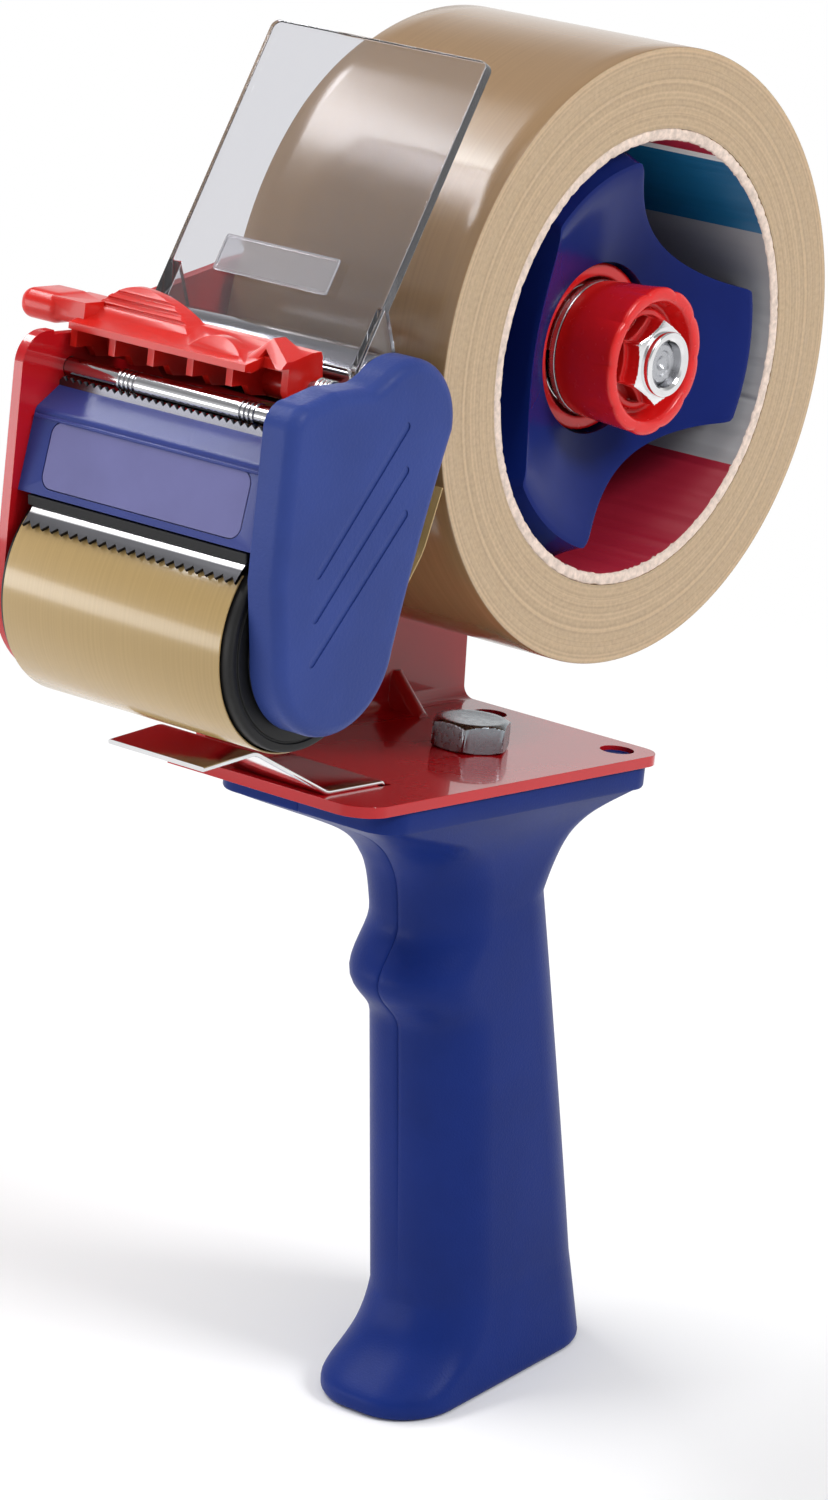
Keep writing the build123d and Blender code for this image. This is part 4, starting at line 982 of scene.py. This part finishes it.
peel = polar((0, 0), ROLL_RADIUS + 0.45, -20)
turn_down = (peel[0] + 3.4, peel[1] - 10.8)
touch = touch_point(ROLLER, WRAP_RADIUS, turn_down, 1)
touch_angle = direction(ROLLER, touch) % 360
tape_path = bent([peel, turn_down, touch], EASY_BEND, 12)
tape_path += arc(ROLLER, WRAP_RADIUS, touch_angle, WRAP_END, 72)[1:]
bm = bmesh.new()
bent_sheet(bm, tape_path, TAPE_SHEET, HALF_TAPE, 0.1)
new_piece("tape_run_film", bm, [WRAP_FILM_PAINTED_LIGHTER], "frame", "tape", "tape_run", turn=50)
print("tape path:", len(tape_path), "points, touches the roller at", round(touch_angle, 1))

# %% [markdown]
# ## Clip and rod
# The clip is one strip of spring steel: hemmed through a slot in the plate, up to a
# crest under the roller, and down a little to a free tip.  Its heights are shares of
# the room between plate and tape, so it fits there whatever the roller's place.

# %% The spring clip
CLIP_THICK, CLIP_HALF = 0.8, 10.75
CLIP_BEND, HEM_BEND = 4.5, 0.8
ON_PLATE = PLATE_TOP + CLIP_THICK / 2
HEM_UNDER = PLATE_TOP - 2.4
SLOT_X = 41.8
ROOM = ROLLER[1] - (WRAP_RADIUS + TAPE_SHEET / 2) - PLATE_TOP
clip_path = [(90.1, PLATE_TOP + 0.61 * ROOM), (77.0, PLATE_TOP + 0.7 * ROOM), (57.0, ON_PLATE),
             (SLOT_X, ON_PLATE, HEM_BEND), (SLOT_X, HEM_UNDER, HEM_BEND), (51.3, HEM_UNDER)]
bm = bmesh.new()
bent_sheet(bm, bent(clip_path, CLIP_BEND, 10), CLIP_THICK, CLIP_HALF, 0.28)
new_piece("spring_clip_bent", bm, [BRIGHT], "frame", "bright", "spring_clip", turn=50)
print("clip tip at head z", round(clip_path[0][1], 2))

# %% [markdown]
# The rod under the lever's front edge is bright drawn steel with four narrow grooves
# near each end.  Grooves this fine still have to be real, because chrome shows every
# one of them as a dark line beside a bright one.

# %% The lever rod
ROD = (91.2, -4.9)
ROD_RADIUS, ROD_NECK = 2.0, 1.7
ROD_FAR, ROD_NEAR = -28.6, 31.4
GROOVES_FAR, GROOVES_NEAR = -14.0, 12.5


def groove_rows(start):
    """Four grooves along the rod: full radius, then neck, each half a millimetre."""
    rows = []
    for n in range(4):
        y = start + n
        rows += [(ROD_RADIUS, y, 0.1), (ROD_RADIUS, y + 0.5, 0.1), (ROD_NECK, y + 0.5, 0.05),
                 (ROD_NECK, y + 1.0, 0.05)]
    return rows


rod_profile = [(0.4, ROD_FAR, 0), (ROD_NECK, ROD_FAR), (ROD_NECK, GROOVES_FAR, 0.1)]
rod_profile += groove_rows(GROOVES_FAR) + [(ROD_RADIUS, GROOVES_FAR + 4, 0.1)] + groove_rows(GROOVES_NEAR)
rod_profile += [(ROD_NECK, ROD_NEAR), (0.4, ROD_NEAR, 0)]
turned("lever_rod_turned", rounded(rod_profile, 0.2, closed=False), ROD_STEEL, "frame", "bright",
       "lever_rod", closed=False, centre=ROD, steps=48)
print("rod:", round(ROD_NEAR - ROD_FAR, 1), "mm long")

# %% [markdown]
# ## The side cover
# The cover is one moulding: a hump over the hinge, a round foot at the roller, and a
# front edge that follows the upright.  Its outline is drawn once, from arcs about
# the axles it covers, so that it sits round them as the real cover does.

# %% Outline of the cover
HUMP, HUMP_RADIUS = (72.7, -5.5), 11.7
FOOT_RADIUS = 15.0
BROW, BROW_RADIUS = (98.5, -4.1), 4.5
FRONT_X = BROW[0] + BROW_RADIUS
FOOT_START, HUMP_START, HUMP_END = 186, 50, 184  # degrees
WAIST = (66.0, -23.0)


def arc_through(start, middle, end, steps):
    """Points of the arc through three places."""
    ax, az = start
    bx, bz = middle[0] - ax, middle[1] - az
    cx, cz = end[0] - ax, end[1] - az
    cross = 2 * (bx * cz - bz * cx)
    ux = (cz * (bx * bx + bz * bz) - bz * (cx * cx + cz * cz)) / cross
    uz = (bx * (cx * cx + cz * cz) - cx * (bx * bx + bz * bz)) / cross
    radius = hypot(ux, uz)
    first = atan2(-uz, -ux)
    sweep = (atan2(cz - uz, cx - ux) - first) % (2 * pi)
    if (atan2(bz - uz, bx - ux) - first) % (2 * pi) > sweep:
        sweep -= 2 * pi
    return [(ax + ux + radius * cos(first + sweep * n / steps),
             az + uz + radius * sin(first + sweep * n / steps)) for n in range(steps + 1)]


def cover_line():
    """Side view of the cover, anticlockwise: foot, front, brow, hump and waist."""
    foot = touch_point(ROLLER, FOOT_RADIUS, (FRONT_X, BROW[1]), -1)
    line = arc(ROLLER, FOOT_RADIUS, FOOT_START, 360 + direction(ROLLER, foot), 48)
    line += [(FRONT_X, BROW[1] + share * (foot[1] - BROW[1])) for share in (0.66, 0.33)]
    line += arc(BROW, BROW_RADIUS, 0, 90, 10)
    line += bent([polar(BROW, BROW_RADIUS, 90), (92.0, 2.0, 6.0), (83.2, 2.0, 4.0),
                  polar(HUMP, HUMP_RADIUS, HUMP_START)], 4.0, 5)[1:-1]
    line += arc(HUMP, HUMP_RADIUS, HUMP_START, HUMP_END, 32)
    line += arc_through(polar(HUMP, HUMP_RADIUS, HUMP_END), WAIST,
                        polar(ROLLER, FOOT_RADIUS, FOOT_START), 14)[1:-1]
    return line


outline = cover_line()
print("cover outline:", len(outline), "points")

# %% [markdown]
# The shell is that outline in rows: up the inside, over the rim, up the wall and in
# over the rounded edge.  The edge comes from moving the outline inwards ring by ring
# on a quarter circle, which keeps its width the same all round, as a scaled copy
# would not.

# %% The cover's shell
COVER_RIM, COVER_FACE, COVER_WALL = 26.5, 33.3, 2.0
COVER_EDGE, RIM_BREAK = 2.4, 0.25


def cover_row(distance, y):
    """The outline moved inwards, square to itself, at a height."""
    row = []
    for n, point in enumerate(outline):
        into = (Vector(point) - Vector(outline[n - 1])).normalized()
        out = (Vector(outline[(n + 1) % len(outline)]) - Vector(point)).normalized()
        normal = Vector((-into.y - out.y, into.x + out.x)).normalized()
        row.append(at_head(point[0] + distance * normal.x, y, point[1] + distance * normal.y))
    return row


rows = [cover_row(COVER_WALL, COVER_FACE - COVER_WALL), cover_row(COVER_WALL, COVER_RIM),
        cover_row(RIM_BREAK, COVER_RIM), cover_row(0.0, COVER_RIM + RIM_BREAK),
        cover_row(0.0, COVER_FACE - COVER_EDGE)]
for n in range(1, 9):
    swing = radians(90 * n / 8)
    rows.append(cover_row(COVER_EDGE * (1 - cos(swing)), COVER_FACE - COVER_EDGE * (1 - sin(swing))))
bm = bmesh.new()
skin(bm, rows)
cover = new_piece("side_cover_moulded", bm, [COVER_BLUE], "frame", "body_blue", "side_cover", turn=32)
print("cover:", len(rows), "rows,", len(cover.data.polygons), "faces")

# %% [markdown]
# Three slanting marks are sunk in the face, each deeper along one side than at the
# other.  They are cut last, with a boolean whose result is kept as the mesh.  The
# cutters are deleted again, so no cutter object is left in the scene.

# %% The three marks
MARK_WIDTH, MARK_DEPTH, MARK_LIFT = 1.7, 0.26, 0.4
MARK_HIGH, MARK_LOW, MARK_PITCH = (74.4, -4.8), (93.2, -27.7), 7.4


def mark_cutter(start, end):
    """Closed mesh of one mark: a long slot whose floor tilts across it."""
    along = (end - start).normalized()
    across = Vector((along.y, -along.x))
    top, floor = [], []
    for centre, first in ((start, 90), (end, -90)):
        for n in range(9):
            swing = radians(first + 180 * n / 8)
            point = centre + MARK_WIDTH / 2 * (cos(swing) * along + sin(swing) * across)
            share = 0.5 + (point - start).dot(across) / MARK_WIDTH
            top.append(at_head(point.x, COVER_FACE + MARK_LIFT, point.y))
            floor.append(at_head(point.x, COVER_FACE - MARK_DEPTH * (0.25 + 0.75 * share), point.y))
    bm = bmesh.new()
    skin(bm, [top, floor])
    bmesh.ops.recalc_face_normals(bm, faces=bm.faces)
    mesh = bpy.data.meshes.new("cutter")
    bm.to_mesh(mesh)
    bm.free()
    return mesh


def carve(thing, cutter_mesh):
    """Cuts a closed mesh out of a piece and keeps the result as its mesh."""
    cutter = put("cutter", cutter_mesh)
    cut = thing.modifiers.new("cut", "BOOLEAN")
    cut.operation = "DIFFERENCE"
    cut.solver = "EXACT"
    cut.object = cutter
    graph = bpy.context.evaluated_depsgraph_get()
    carved = bpy.data.meshes.new_from_object(thing.evaluated_get(graph))
    thing.modifiers.remove(cut)
    thing.data = carved
    bpy.data.objects.remove(cutter)


for n in range(3):
    high = Vector((MARK_HIGH[0] - 0.9 * n, MARK_HIGH[1] - MARK_PITCH * n))
    low = Vector((MARK_LOW[0] - 0.3 * n, MARK_LOW[1] - MARK_PITCH * n))
    carve(cover, mark_cutter(high, low))
cover.data.shade_smooth()
cover.data.set_sharp_from_angle(angle=radians(32))
print("cover:", len(cover.data.polygons), "faces with three marks cut")

# %% [markdown]
# ## The handle
# The grip is drawn as level sections, each a rounded rectangle with its own front,
# rear and width.  The front line has the toe at the foot and the swelling of the
# finger stop; the rear line is slightly hollow.  A mould parting line runs up the
# middle of front and rear, as a fine groove.

# %% Sections of the grip
FOOT_WIDTH, GRIP_WIDTH, GRIP_CORNER = 28.0, 25.6, 11.6
GRIP_TOP, TOE_HEIGHT, STOP_HEIGHT, STOP_HALF = 92.0, 18.0, 81.2, 10.0
GRIP_FRONT, GRIP_REAR, REAR_TAPER = 16.1, -26.7, 9.8
TOE_BASE, TOE_REACH, STOP_REACH = 2.4, 12.8, 5.6
SEAM_HALF = 0.32


def grip_section(z):
    """Middle x, height, lean, length, width and corner of a level section."""
    front = GRIP_FRONT
    if z < TOE_HEIGHT:
        share = max(0.0, z - TOE_BASE) / (TOE_HEIGHT - TOE_BASE)
        front += TOE_REACH * (1 - share ** 3) / (1 + (share / 0.36) ** 2.2)
    if abs(z - STOP_HEIGHT) < STOP_HALF:
        front += STOP_REACH * cos(pi * (z - STOP_HEIGHT) / (2 * STOP_HALF)) ** 2
    rear = GRIP_REAR + REAR_TAPER * (z / GRIP_TOP) ** 1.15
    width = GRIP_WIDTH + (FOOT_WIDTH - GRIP_WIDTH) * max(0.0, 1 - z / TOE_HEIGHT)
    return ((front + rear) / 2, z, 0.0, front - rear, width, GRIP_CORNER)


def section_row(section, grow=0.0, seam=0.0, lift=0.0):
    """Points round a section; grow moves them out, lift moves the plane up."""
    x, z, lean, length, width, corner = section
    half, side = length / 2 + grow, width / 2 + grow
    corner = min(corner + grow, half - 0.5, side - 0.8)
    flat = [(half - seam, 0.0), (half - 0.3 * seam, SEAM_HALF * 0.6), (half, SEAM_HALF)]
    for quarter, (way_x, way_y) in enumerate(QUARTERS):
        for n in range(13):
            swing = radians(90 * quarter + 7.5 * n)
            flat.append((way_x * (half - corner) + corner * cos(swing),
                         way_y * (side - corner) + corner * sin(swing)))
        if quarter == 1:
            flat += [(-half, SEAM_HALF), (-half + 0.5 * seam, 0.0), (-half, -SEAM_HALF)]
    flat += [(half, -SEAM_HALF), (half - 0.3 * seam, -SEAM_HALF * 0.6)]
    lean_axis = Vector((cos(lean), 0, sin(lean)))
    rise_axis = Vector((-sin(lean), 0, cos(lean)))
    base = Vector((x, 0, z)) + lift * rise_axis
    return [MM * (base + u * lean_axis + Vector((0, v, 0))) for u, v in flat]


print("grip at the finger stop:", round(grip_section(STOP_HEIGHT)[3], 1), "mm from front to rear")

# %% [markdown]
# Above the grip the sections tilt and widen into the flange under the plate.  Only
# two of them, between the grip's neck and the flange's rim, are listed, and the rest
# lie on a smooth curve through all four.  A straight blend would leave a crease at
# each of them.

# %% From grip to flange
SHEET = 2.0
FLANGE_REAR, FLANGE_FRONT, FLANGE_WIDTH = -24.6, 51.5, 40.8
FLANGE_THICK, FLANGE_DRAFT, FLANGE_CORNER = 4.2, 0.8, 6.0


def between(sections, place):
    """A section on the smooth curve through the given ones; place counts from the second."""
    n = min(int(place), len(sections) - 4)
    t = place - n
    weights = (-0.5 * t + t * t - 0.5 * t ** 3, 1 - 2.5 * t * t + 1.5 * t ** 3,
               0.5 * t + 2 * t * t - 1.5 * t ** 3, -0.5 * t * t + 0.5 * t ** 3)
    return tuple(sum(w * sections[n + k][value] for k, w in enumerate(weights)) for value in range(6))


flange_length = FLANGE_FRONT - FLANGE_REAR
rim_point = at_head((FLANGE_REAR + FLANGE_FRONT) / 2, 0, PLATE_TOP - SHEET - FLANGE_THICK) / MM
flange = (rim_point.x, rim_point.z, HEAD_TILT, flange_length, FLANGE_WIDTH, FLANGE_CORNER)
rim = (*flange[:3], flange_length - 2 * FLANGE_DRAFT, FLANGE_WIDTH - 2 * FLANGE_DRAFT,
       FLANGE_CORNER - FLANGE_DRAFT)
neck = grip_section(GRIP_TOP)
flare = [grip_section(GRIP_TOP - 3), neck]
for rise, spread, lean, shift in ((0.4, 0.14, 0.31, -0.29), (0.68, 0.43, 0.69, -0.14)):
    flare.append((neck[0] + shift * (rim[0] - neck[0]), GRIP_TOP + rise * (rim[1] - GRIP_TOP),
                  HEAD_TILT * lean, neck[3] + spread * (rim[3] - neck[3]),
                  neck[4] + spread * (rim[4] - neck[4]), GRIP_CORNER))
flare += [rim, (rim[0], rim[1] + 3, HEAD_TILT, rim[3] + 9, rim[4] + 4, rim[5])]
print("flare from height", GRIP_TOP, "to", round(rim[1], 1))

# %% [markdown]
# Now the rows are stacked: a rounded foot, the toe with close rows, the long grip,
# the flare, and the flange with its own small edges.  Two pegs on top of the flange
# reach into the holes at the rear of the plate.

# %% Grip and flange in one skin
FOOT_ROUND, SEAM_DEPTH = 1.5, 0.22
PEG_X, PEG_Y = -19.2, 14.7
PEG = [(0.05, 1.2), (1.9, 1.2), (2.1, 1.35), (2.7, 1.3), (3.0, 1.0), (3.0, -0.5), (0.05, -0.5)]

rows = []
for n in range(5):
    swing = radians(90 * n / 4)
    level = grip_section(FOOT_ROUND * (1 - cos(swing)))
    rows.append(section_row(level, grow=-FOOT_ROUND * (1 - sin(swing))))
heights = [FOOT_ROUND + (TOE_HEIGHT - FOOT_ROUND) * (n / 22) ** 1.15 for n in range(1, 23)]
heights += [TOE_HEIGHT + (GRIP_TOP - TOE_HEIGHT) * n / 50 for n in range(1, 51)]
for z in heights:
    rows.append(section_row(grip_section(z), seam=SEAM_DEPTH * min(1.0, max(0.0, (z - 20) / 40))))
for n in range(1, 37):
    rows.append(section_row(between(flare, 3 * n / 36), seam=SEAM_DEPTH))
for grow, lift in ((-0.55, 0.0), (-0.2, 0.1), (0.0, 0.5), (0.0, FLANGE_THICK - 0.5),
                   (-0.15, FLANGE_THICK - 0.12), (-0.5, FLANGE_THICK)):
    rows.append(section_row(flange, grow=grow, lift=lift, seam=0.15))
bm = bmesh.new()
skin(bm, rows)


def peg_place(middle):
    """Lathe place for a peg that stands on the flange."""
    def place(reach, height, across):
        return at_head(PEG_X + reach, middle + across, PLATE_TOP - SHEET + height)
    return place


for peg_y in (-PEG_Y, PEG_Y):
    lathe(bm, PEG, steps=40, closed=False, place=peg_place(peg_y))
handle = new_piece("handle_moulded", bm, [GRIP_BLUE], "frame", "grip_blue", "handle", turn=34)
print("handle:", len(rows), "sections,", len(handle.data.polygons), "faces")

# %% [markdown]
# ## Pressed, bent and moulded pieces
# These have the right outline in the CAD frame and only lack the softness of real
# edges: enamel pools over a punched edge, and a mould never has a sharp corner.  So
# each gets a copy with its flat faces merged and a small bevel.

# %% Rounded copies
ROUNDED_COPIES = (
    ("steel_frame", "frame", "frame_red", 0.45), ("press_lever", "lever", "lever_red", 0.3),
    ("clear_flap", "flap", "clear", 0.25), ("front_guard", "frame", "body_blue", 0.3),
    ("guard_panel", "frame", "panel", 0.12), ("blade_holder", "frame", "black", 0.3),
    ("brake_washer", "brake_slider", "zinc", 0.2), ("roller_axle", "frame", "zinc", 0.25),
    ("guide_pin", "frame", "zinc", 0.25), ("guard_screws", "frame", "zinc", 0.2),
    ("tear_blade", "frame", "bright", 0.06), ("hub_flange", "roll", "body_blue", 0.4))


def dressed(node, body, slot, width):
    """A copy of a CAD piece whose edges are rounded; width in millimetres."""
    bm = bmesh.new()
    bm.from_mesh(nodes[node].data)
    bmesh.ops.remove_doubles(bm, verts=bm.verts, dist=2e-6)
    bmesh.ops.dissolve_limit(bm, angle_limit=radians(0.6), verts=bm.verts, edges=bm.edges)
    thing = new_piece(node + "_soft", bm, [FINISH_OF[node]], body, slot, node)
    bevel = thing.modifiers.new("rounded_edges", "BEVEL")
    bevel.width = width * MM
    bevel.segments = 3
    bevel.limit_method = "ANGLE"
    bevel.angle_limit = radians(40)
    bevel.harden_normals = True


for node, body, slot, width in ROUNDED_COPIES:
    dressed(node, body, slot, width)
print(len(ROUNDED_COPIES), "pieces have rounded edges")

# %% [markdown]
# The guard has one more line, a bead along its brow that stiffens the thin wall.  It
# is narrow, so a thin turned bar sunk halfway into the wall is enough: its round side
# catches the light all along.

# %% The bead on the guard
BEAD = (99.2, -12.4)
BEAD_RADIUS, BEAD_FAR, BEAD_NEAR = 0.36, -25.6, 25.9
bead_profile = rounded([(0.02, BEAD_FAR, 0), (BEAD_RADIUS, BEAD_FAR), (BEAD_RADIUS, BEAD_NEAR),
                        (0.02, BEAD_NEAR, 0)], 0.1, closed=False)
turned("guard_bead", bead_profile, BODY_BLUE, "frame", "body_blue", closed=False, centre=BEAD, steps=24)
print("bead along the brow at head x", BEAD[0])

# %% [markdown]
# A small plate of the same plastic is moulded proud of the flap, low on its front.
# Here it is bare.  It has a narrow raised rim round a face that lies slightly lower,
# so its edge catches the light on all four sides.

# %% The raised plate on the flap
FLAP_LEAN, FLAP_FRONT = radians(27.6), 8.9
PLATE_LOW, PLATE_HIGH, PLATE_FAR, PLATE_NEAR = 11.6, 18.2, -13.0, 12.0


def flap_row(inset, proud):
    """The plate's outline on the flap's front, moved in and out of it."""
    low, high = PLATE_LOW + inset, PLATE_HIGH - inset
    far, near = PLATE_FAR + inset, PLATE_NEAR - inset
    out = FLAP_FRONT + proud
    return [at_head(GUIDE[0] - along * sin(FLAP_LEAN) + out * cos(FLAP_LEAN), y,
                    GUIDE[1] + along * cos(FLAP_LEAN) + out * sin(FLAP_LEAN))
            for y, along in rounded([(far, low), (near, low), (near, high), (far, high)], 0.6)]


bm = bmesh.new()
skin(bm, [flap_row(0.0, -0.05), flap_row(0.0, 0.25), flap_row(0.12, 0.35), flap_row(0.4, 0.35),
          flap_row(0.52, 0.22), flap_row(0.7, 0.2)])
new_piece("flap_plate", bm, [FROSTED], "flap", "clear", turn=30)
print("raised plate:", PLATE_NEAR - PLATE_FAR, "by", round(PLATE_HIGH - PLATE_LOW, 1), "mm")

# %% [markdown]
# ## Studio
# The dispenser stands on a matte white floor that takes its shadow.  A little way
# off, the floor blends into plain white, but only for the rays that look at the
# background: straight ones, those through clear plastic, and those off bright metal.
# White that only such rays see hardly lights the object, and a brighter lamp would.

# %% The floor
def maths(tree, operation, first, second):
    """One step of arithmetic between two sockets."""
    node = add_node(tree, "ShaderNodeMath", operation=operation)
    join(tree, first, node.inputs[0])
    join(tree, second, node.inputs[1])
    return node.outputs["Value"]


def background_rays(tree, mirrored=None):
    """1 for rays that look at the background; mirrored says which glossy ones count."""
    ray = add_node(tree, "ShaderNodeLightPath").outputs
    direct = maths(tree, "MAXIMUM", ray["Is Camera Ray"], ray["Is Transmission Ray"])
    glossy = ray["Is Glossy Ray"]
    if mirrored is not None:
        glossy = maths(tree, "MULTIPLY", glossy, mirrored)
    return maths(tree, "MAXIMUM", direct, glossy)


def white_floor(name):
    """Matte white that keeps the shadow near the object and fades to plain white."""
    finish, tree, shader = new_finish(name)
    set_sockets(shader, {"Base Color": (0.94, 0.94, 0.94, 1), "Roughness": 1.0, "Specular IOR Level": 0.0})
    reach = vector_maths(tree, "LENGTH", object_place(tree))
    fade = remap(tree, reach, (0.15, 0.44), interpolation_type="SMOOTHSTEP")
    glow = add_node(tree, "ShaderNodeEmission")
    blend = add_node(tree, "ShaderNodeMixShader")
    join(tree, maths(tree, "MULTIPLY", fade, background_rays(tree)), blend.inputs["Fac"])
    join(tree, shader.outputs["BSDF"], blend.inputs[1])
    join(tree, glow.outputs["Emission"], blend.inputs[2])
    join(tree, blend.outputs["Shader"], tree.nodes["Material Output"].inputs["Surface"])
    return finish


FLOOR_REACH = 3.0
floor_mesh = bpy.data.meshes.new("floor")
corners = [(FLOOR_REACH * x, FLOOR_REACH * y, 0) for x, y in ((-1, -1), (1, -1), (1, 1), (-1, 1))]
floor_mesh.from_pydata(corners, [], [(0, 1, 2, 3)])
floor_mesh.materials.append(white_floor("floor_white"))
put("floor", floor_mesh)
print("floor:", 2 * FLOOR_REACH, "m across")

# %% [markdown]
# Four soft lamps light it.  The key stands high on the open side, and a broad one
# hangs above for the level surfaces.  A wide low box ahead of the applicator gives
# the tape on it a bright band, and a narrow strip high on the far side draws the band
# along the roll.  Their power is low enough that a colour renders about as it is
# written.

# %% The lamps
def softbox(name, place, aim, width, height, power):
    """A rectangular area lamp that looks at a place; sizes in metres, power in watts."""
    lamp = bpy.data.lights.new(name, "AREA")
    lamp.shape = "RECTANGLE"
    lamp.size = width
    lamp.size_y = height
    lamp.energy = power
    thing = put(name, lamp)
    thing.location = place
    thing.rotation_euler = (Vector(aim) - Vector(place)).to_track_quat("-Z", "Y").to_euler()
    return thing


MIDDLE = Vector((0.0, 0.0, 0.15))
AHEAD = Vector((0.05, 0.0, 0.0))
lamps = [softbox("key", (-0.3, 1.45, 1.3), MIDDLE, 0.55, 0.55, 17.0),
         softbox("front", (1.1, -0.85, 0.2), MIDDLE + AHEAD, 1.1, 0.3, 5.0),
         softbox("overhead", (0.22, -0.85, 1.25), MIDDLE, 1.2, 0.15, 10.0),
         softbox("top", (0.25, 0.25, 1.7), MIDDLE, 1.2, 1.2, 6.5)]
print("lamps:", round(sum(lamp.data.energy for lamp in lamps), 1), "watts in all")

# %% [markdown]
# The world fills in from all round.  It is darker near its horizon than overhead,
# because chrome in an all-white room looks like grey paint.  The same rays as on the
# floor see it as plain white, and of the glossy ones only those that leave low.

# %% The world
world = bpy.data.worlds.new("studio")
world.use_nodes = True
sky = world.node_tree
split = add_node(sky, "ShaderNodeSeparateXYZ")
join(sky, add_node(sky, "ShaderNodeTexCoord").outputs["Generated"], split.inputs["Vector"])
rise = split.outputs["Z"]
dome = colour_ramp(sky, rise, [(0.0, (0.12, 0.12, 0.13, 1)), (0.75, (0.5, 0.5, 0.5, 1))])
low_rays = remap(sky, rise, (0.2, 0.5), (1.0, 0.0))
backdrop = add_node(sky, "ShaderNodeMix", data_type="RGBA")
join(sky, background_rays(sky, low_rays), backdrop.inputs["Factor"])
join(sky, dome, backdrop.inputs[MIX_COLOURS[0]])
backdrop.inputs[MIX_COLOURS[1]].default_value = (1, 1, 1, 1)
join(sky, backdrop.outputs[MIXED_COLOUR], sky.nodes["Background"].inputs["Color"])
bpy.context.scene.world = world
bpy.context.scene.view_settings.view_transform = "Standard"
print("world:", len(sky.nodes), "nodes")

# %% [markdown]
# The camera looks down a little from the open side, from about a metre away with a
# long lens, so that near and far pieces keep their sizes and the handle stays upright.

# %% The camera
CAMERA_PLACE = (0.7698, 0.6318, 0.4949)
AZIMUTH, ELEVATION = radians(129.80), radians(20.64)
camera_data = bpy.data.cameras.new("camera")
camera_data.sensor_fit = "VERTICAL"
camera_data.sensor_height = 36
camera_data.lens = 144
camera = put("camera", camera_data)
away = Vector((sin(AZIMUTH) * cos(ELEVATION), -cos(AZIMUTH) * cos(ELEVATION), sin(ELEVATION)))
camera.location = CAMERA_PLACE
camera.rotation_euler = (-away).to_track_quat("-Z", "Y").to_euler()
bpy.context.scene.camera = camera
print("camera looks from", [round(v, 3) for v in camera.location])
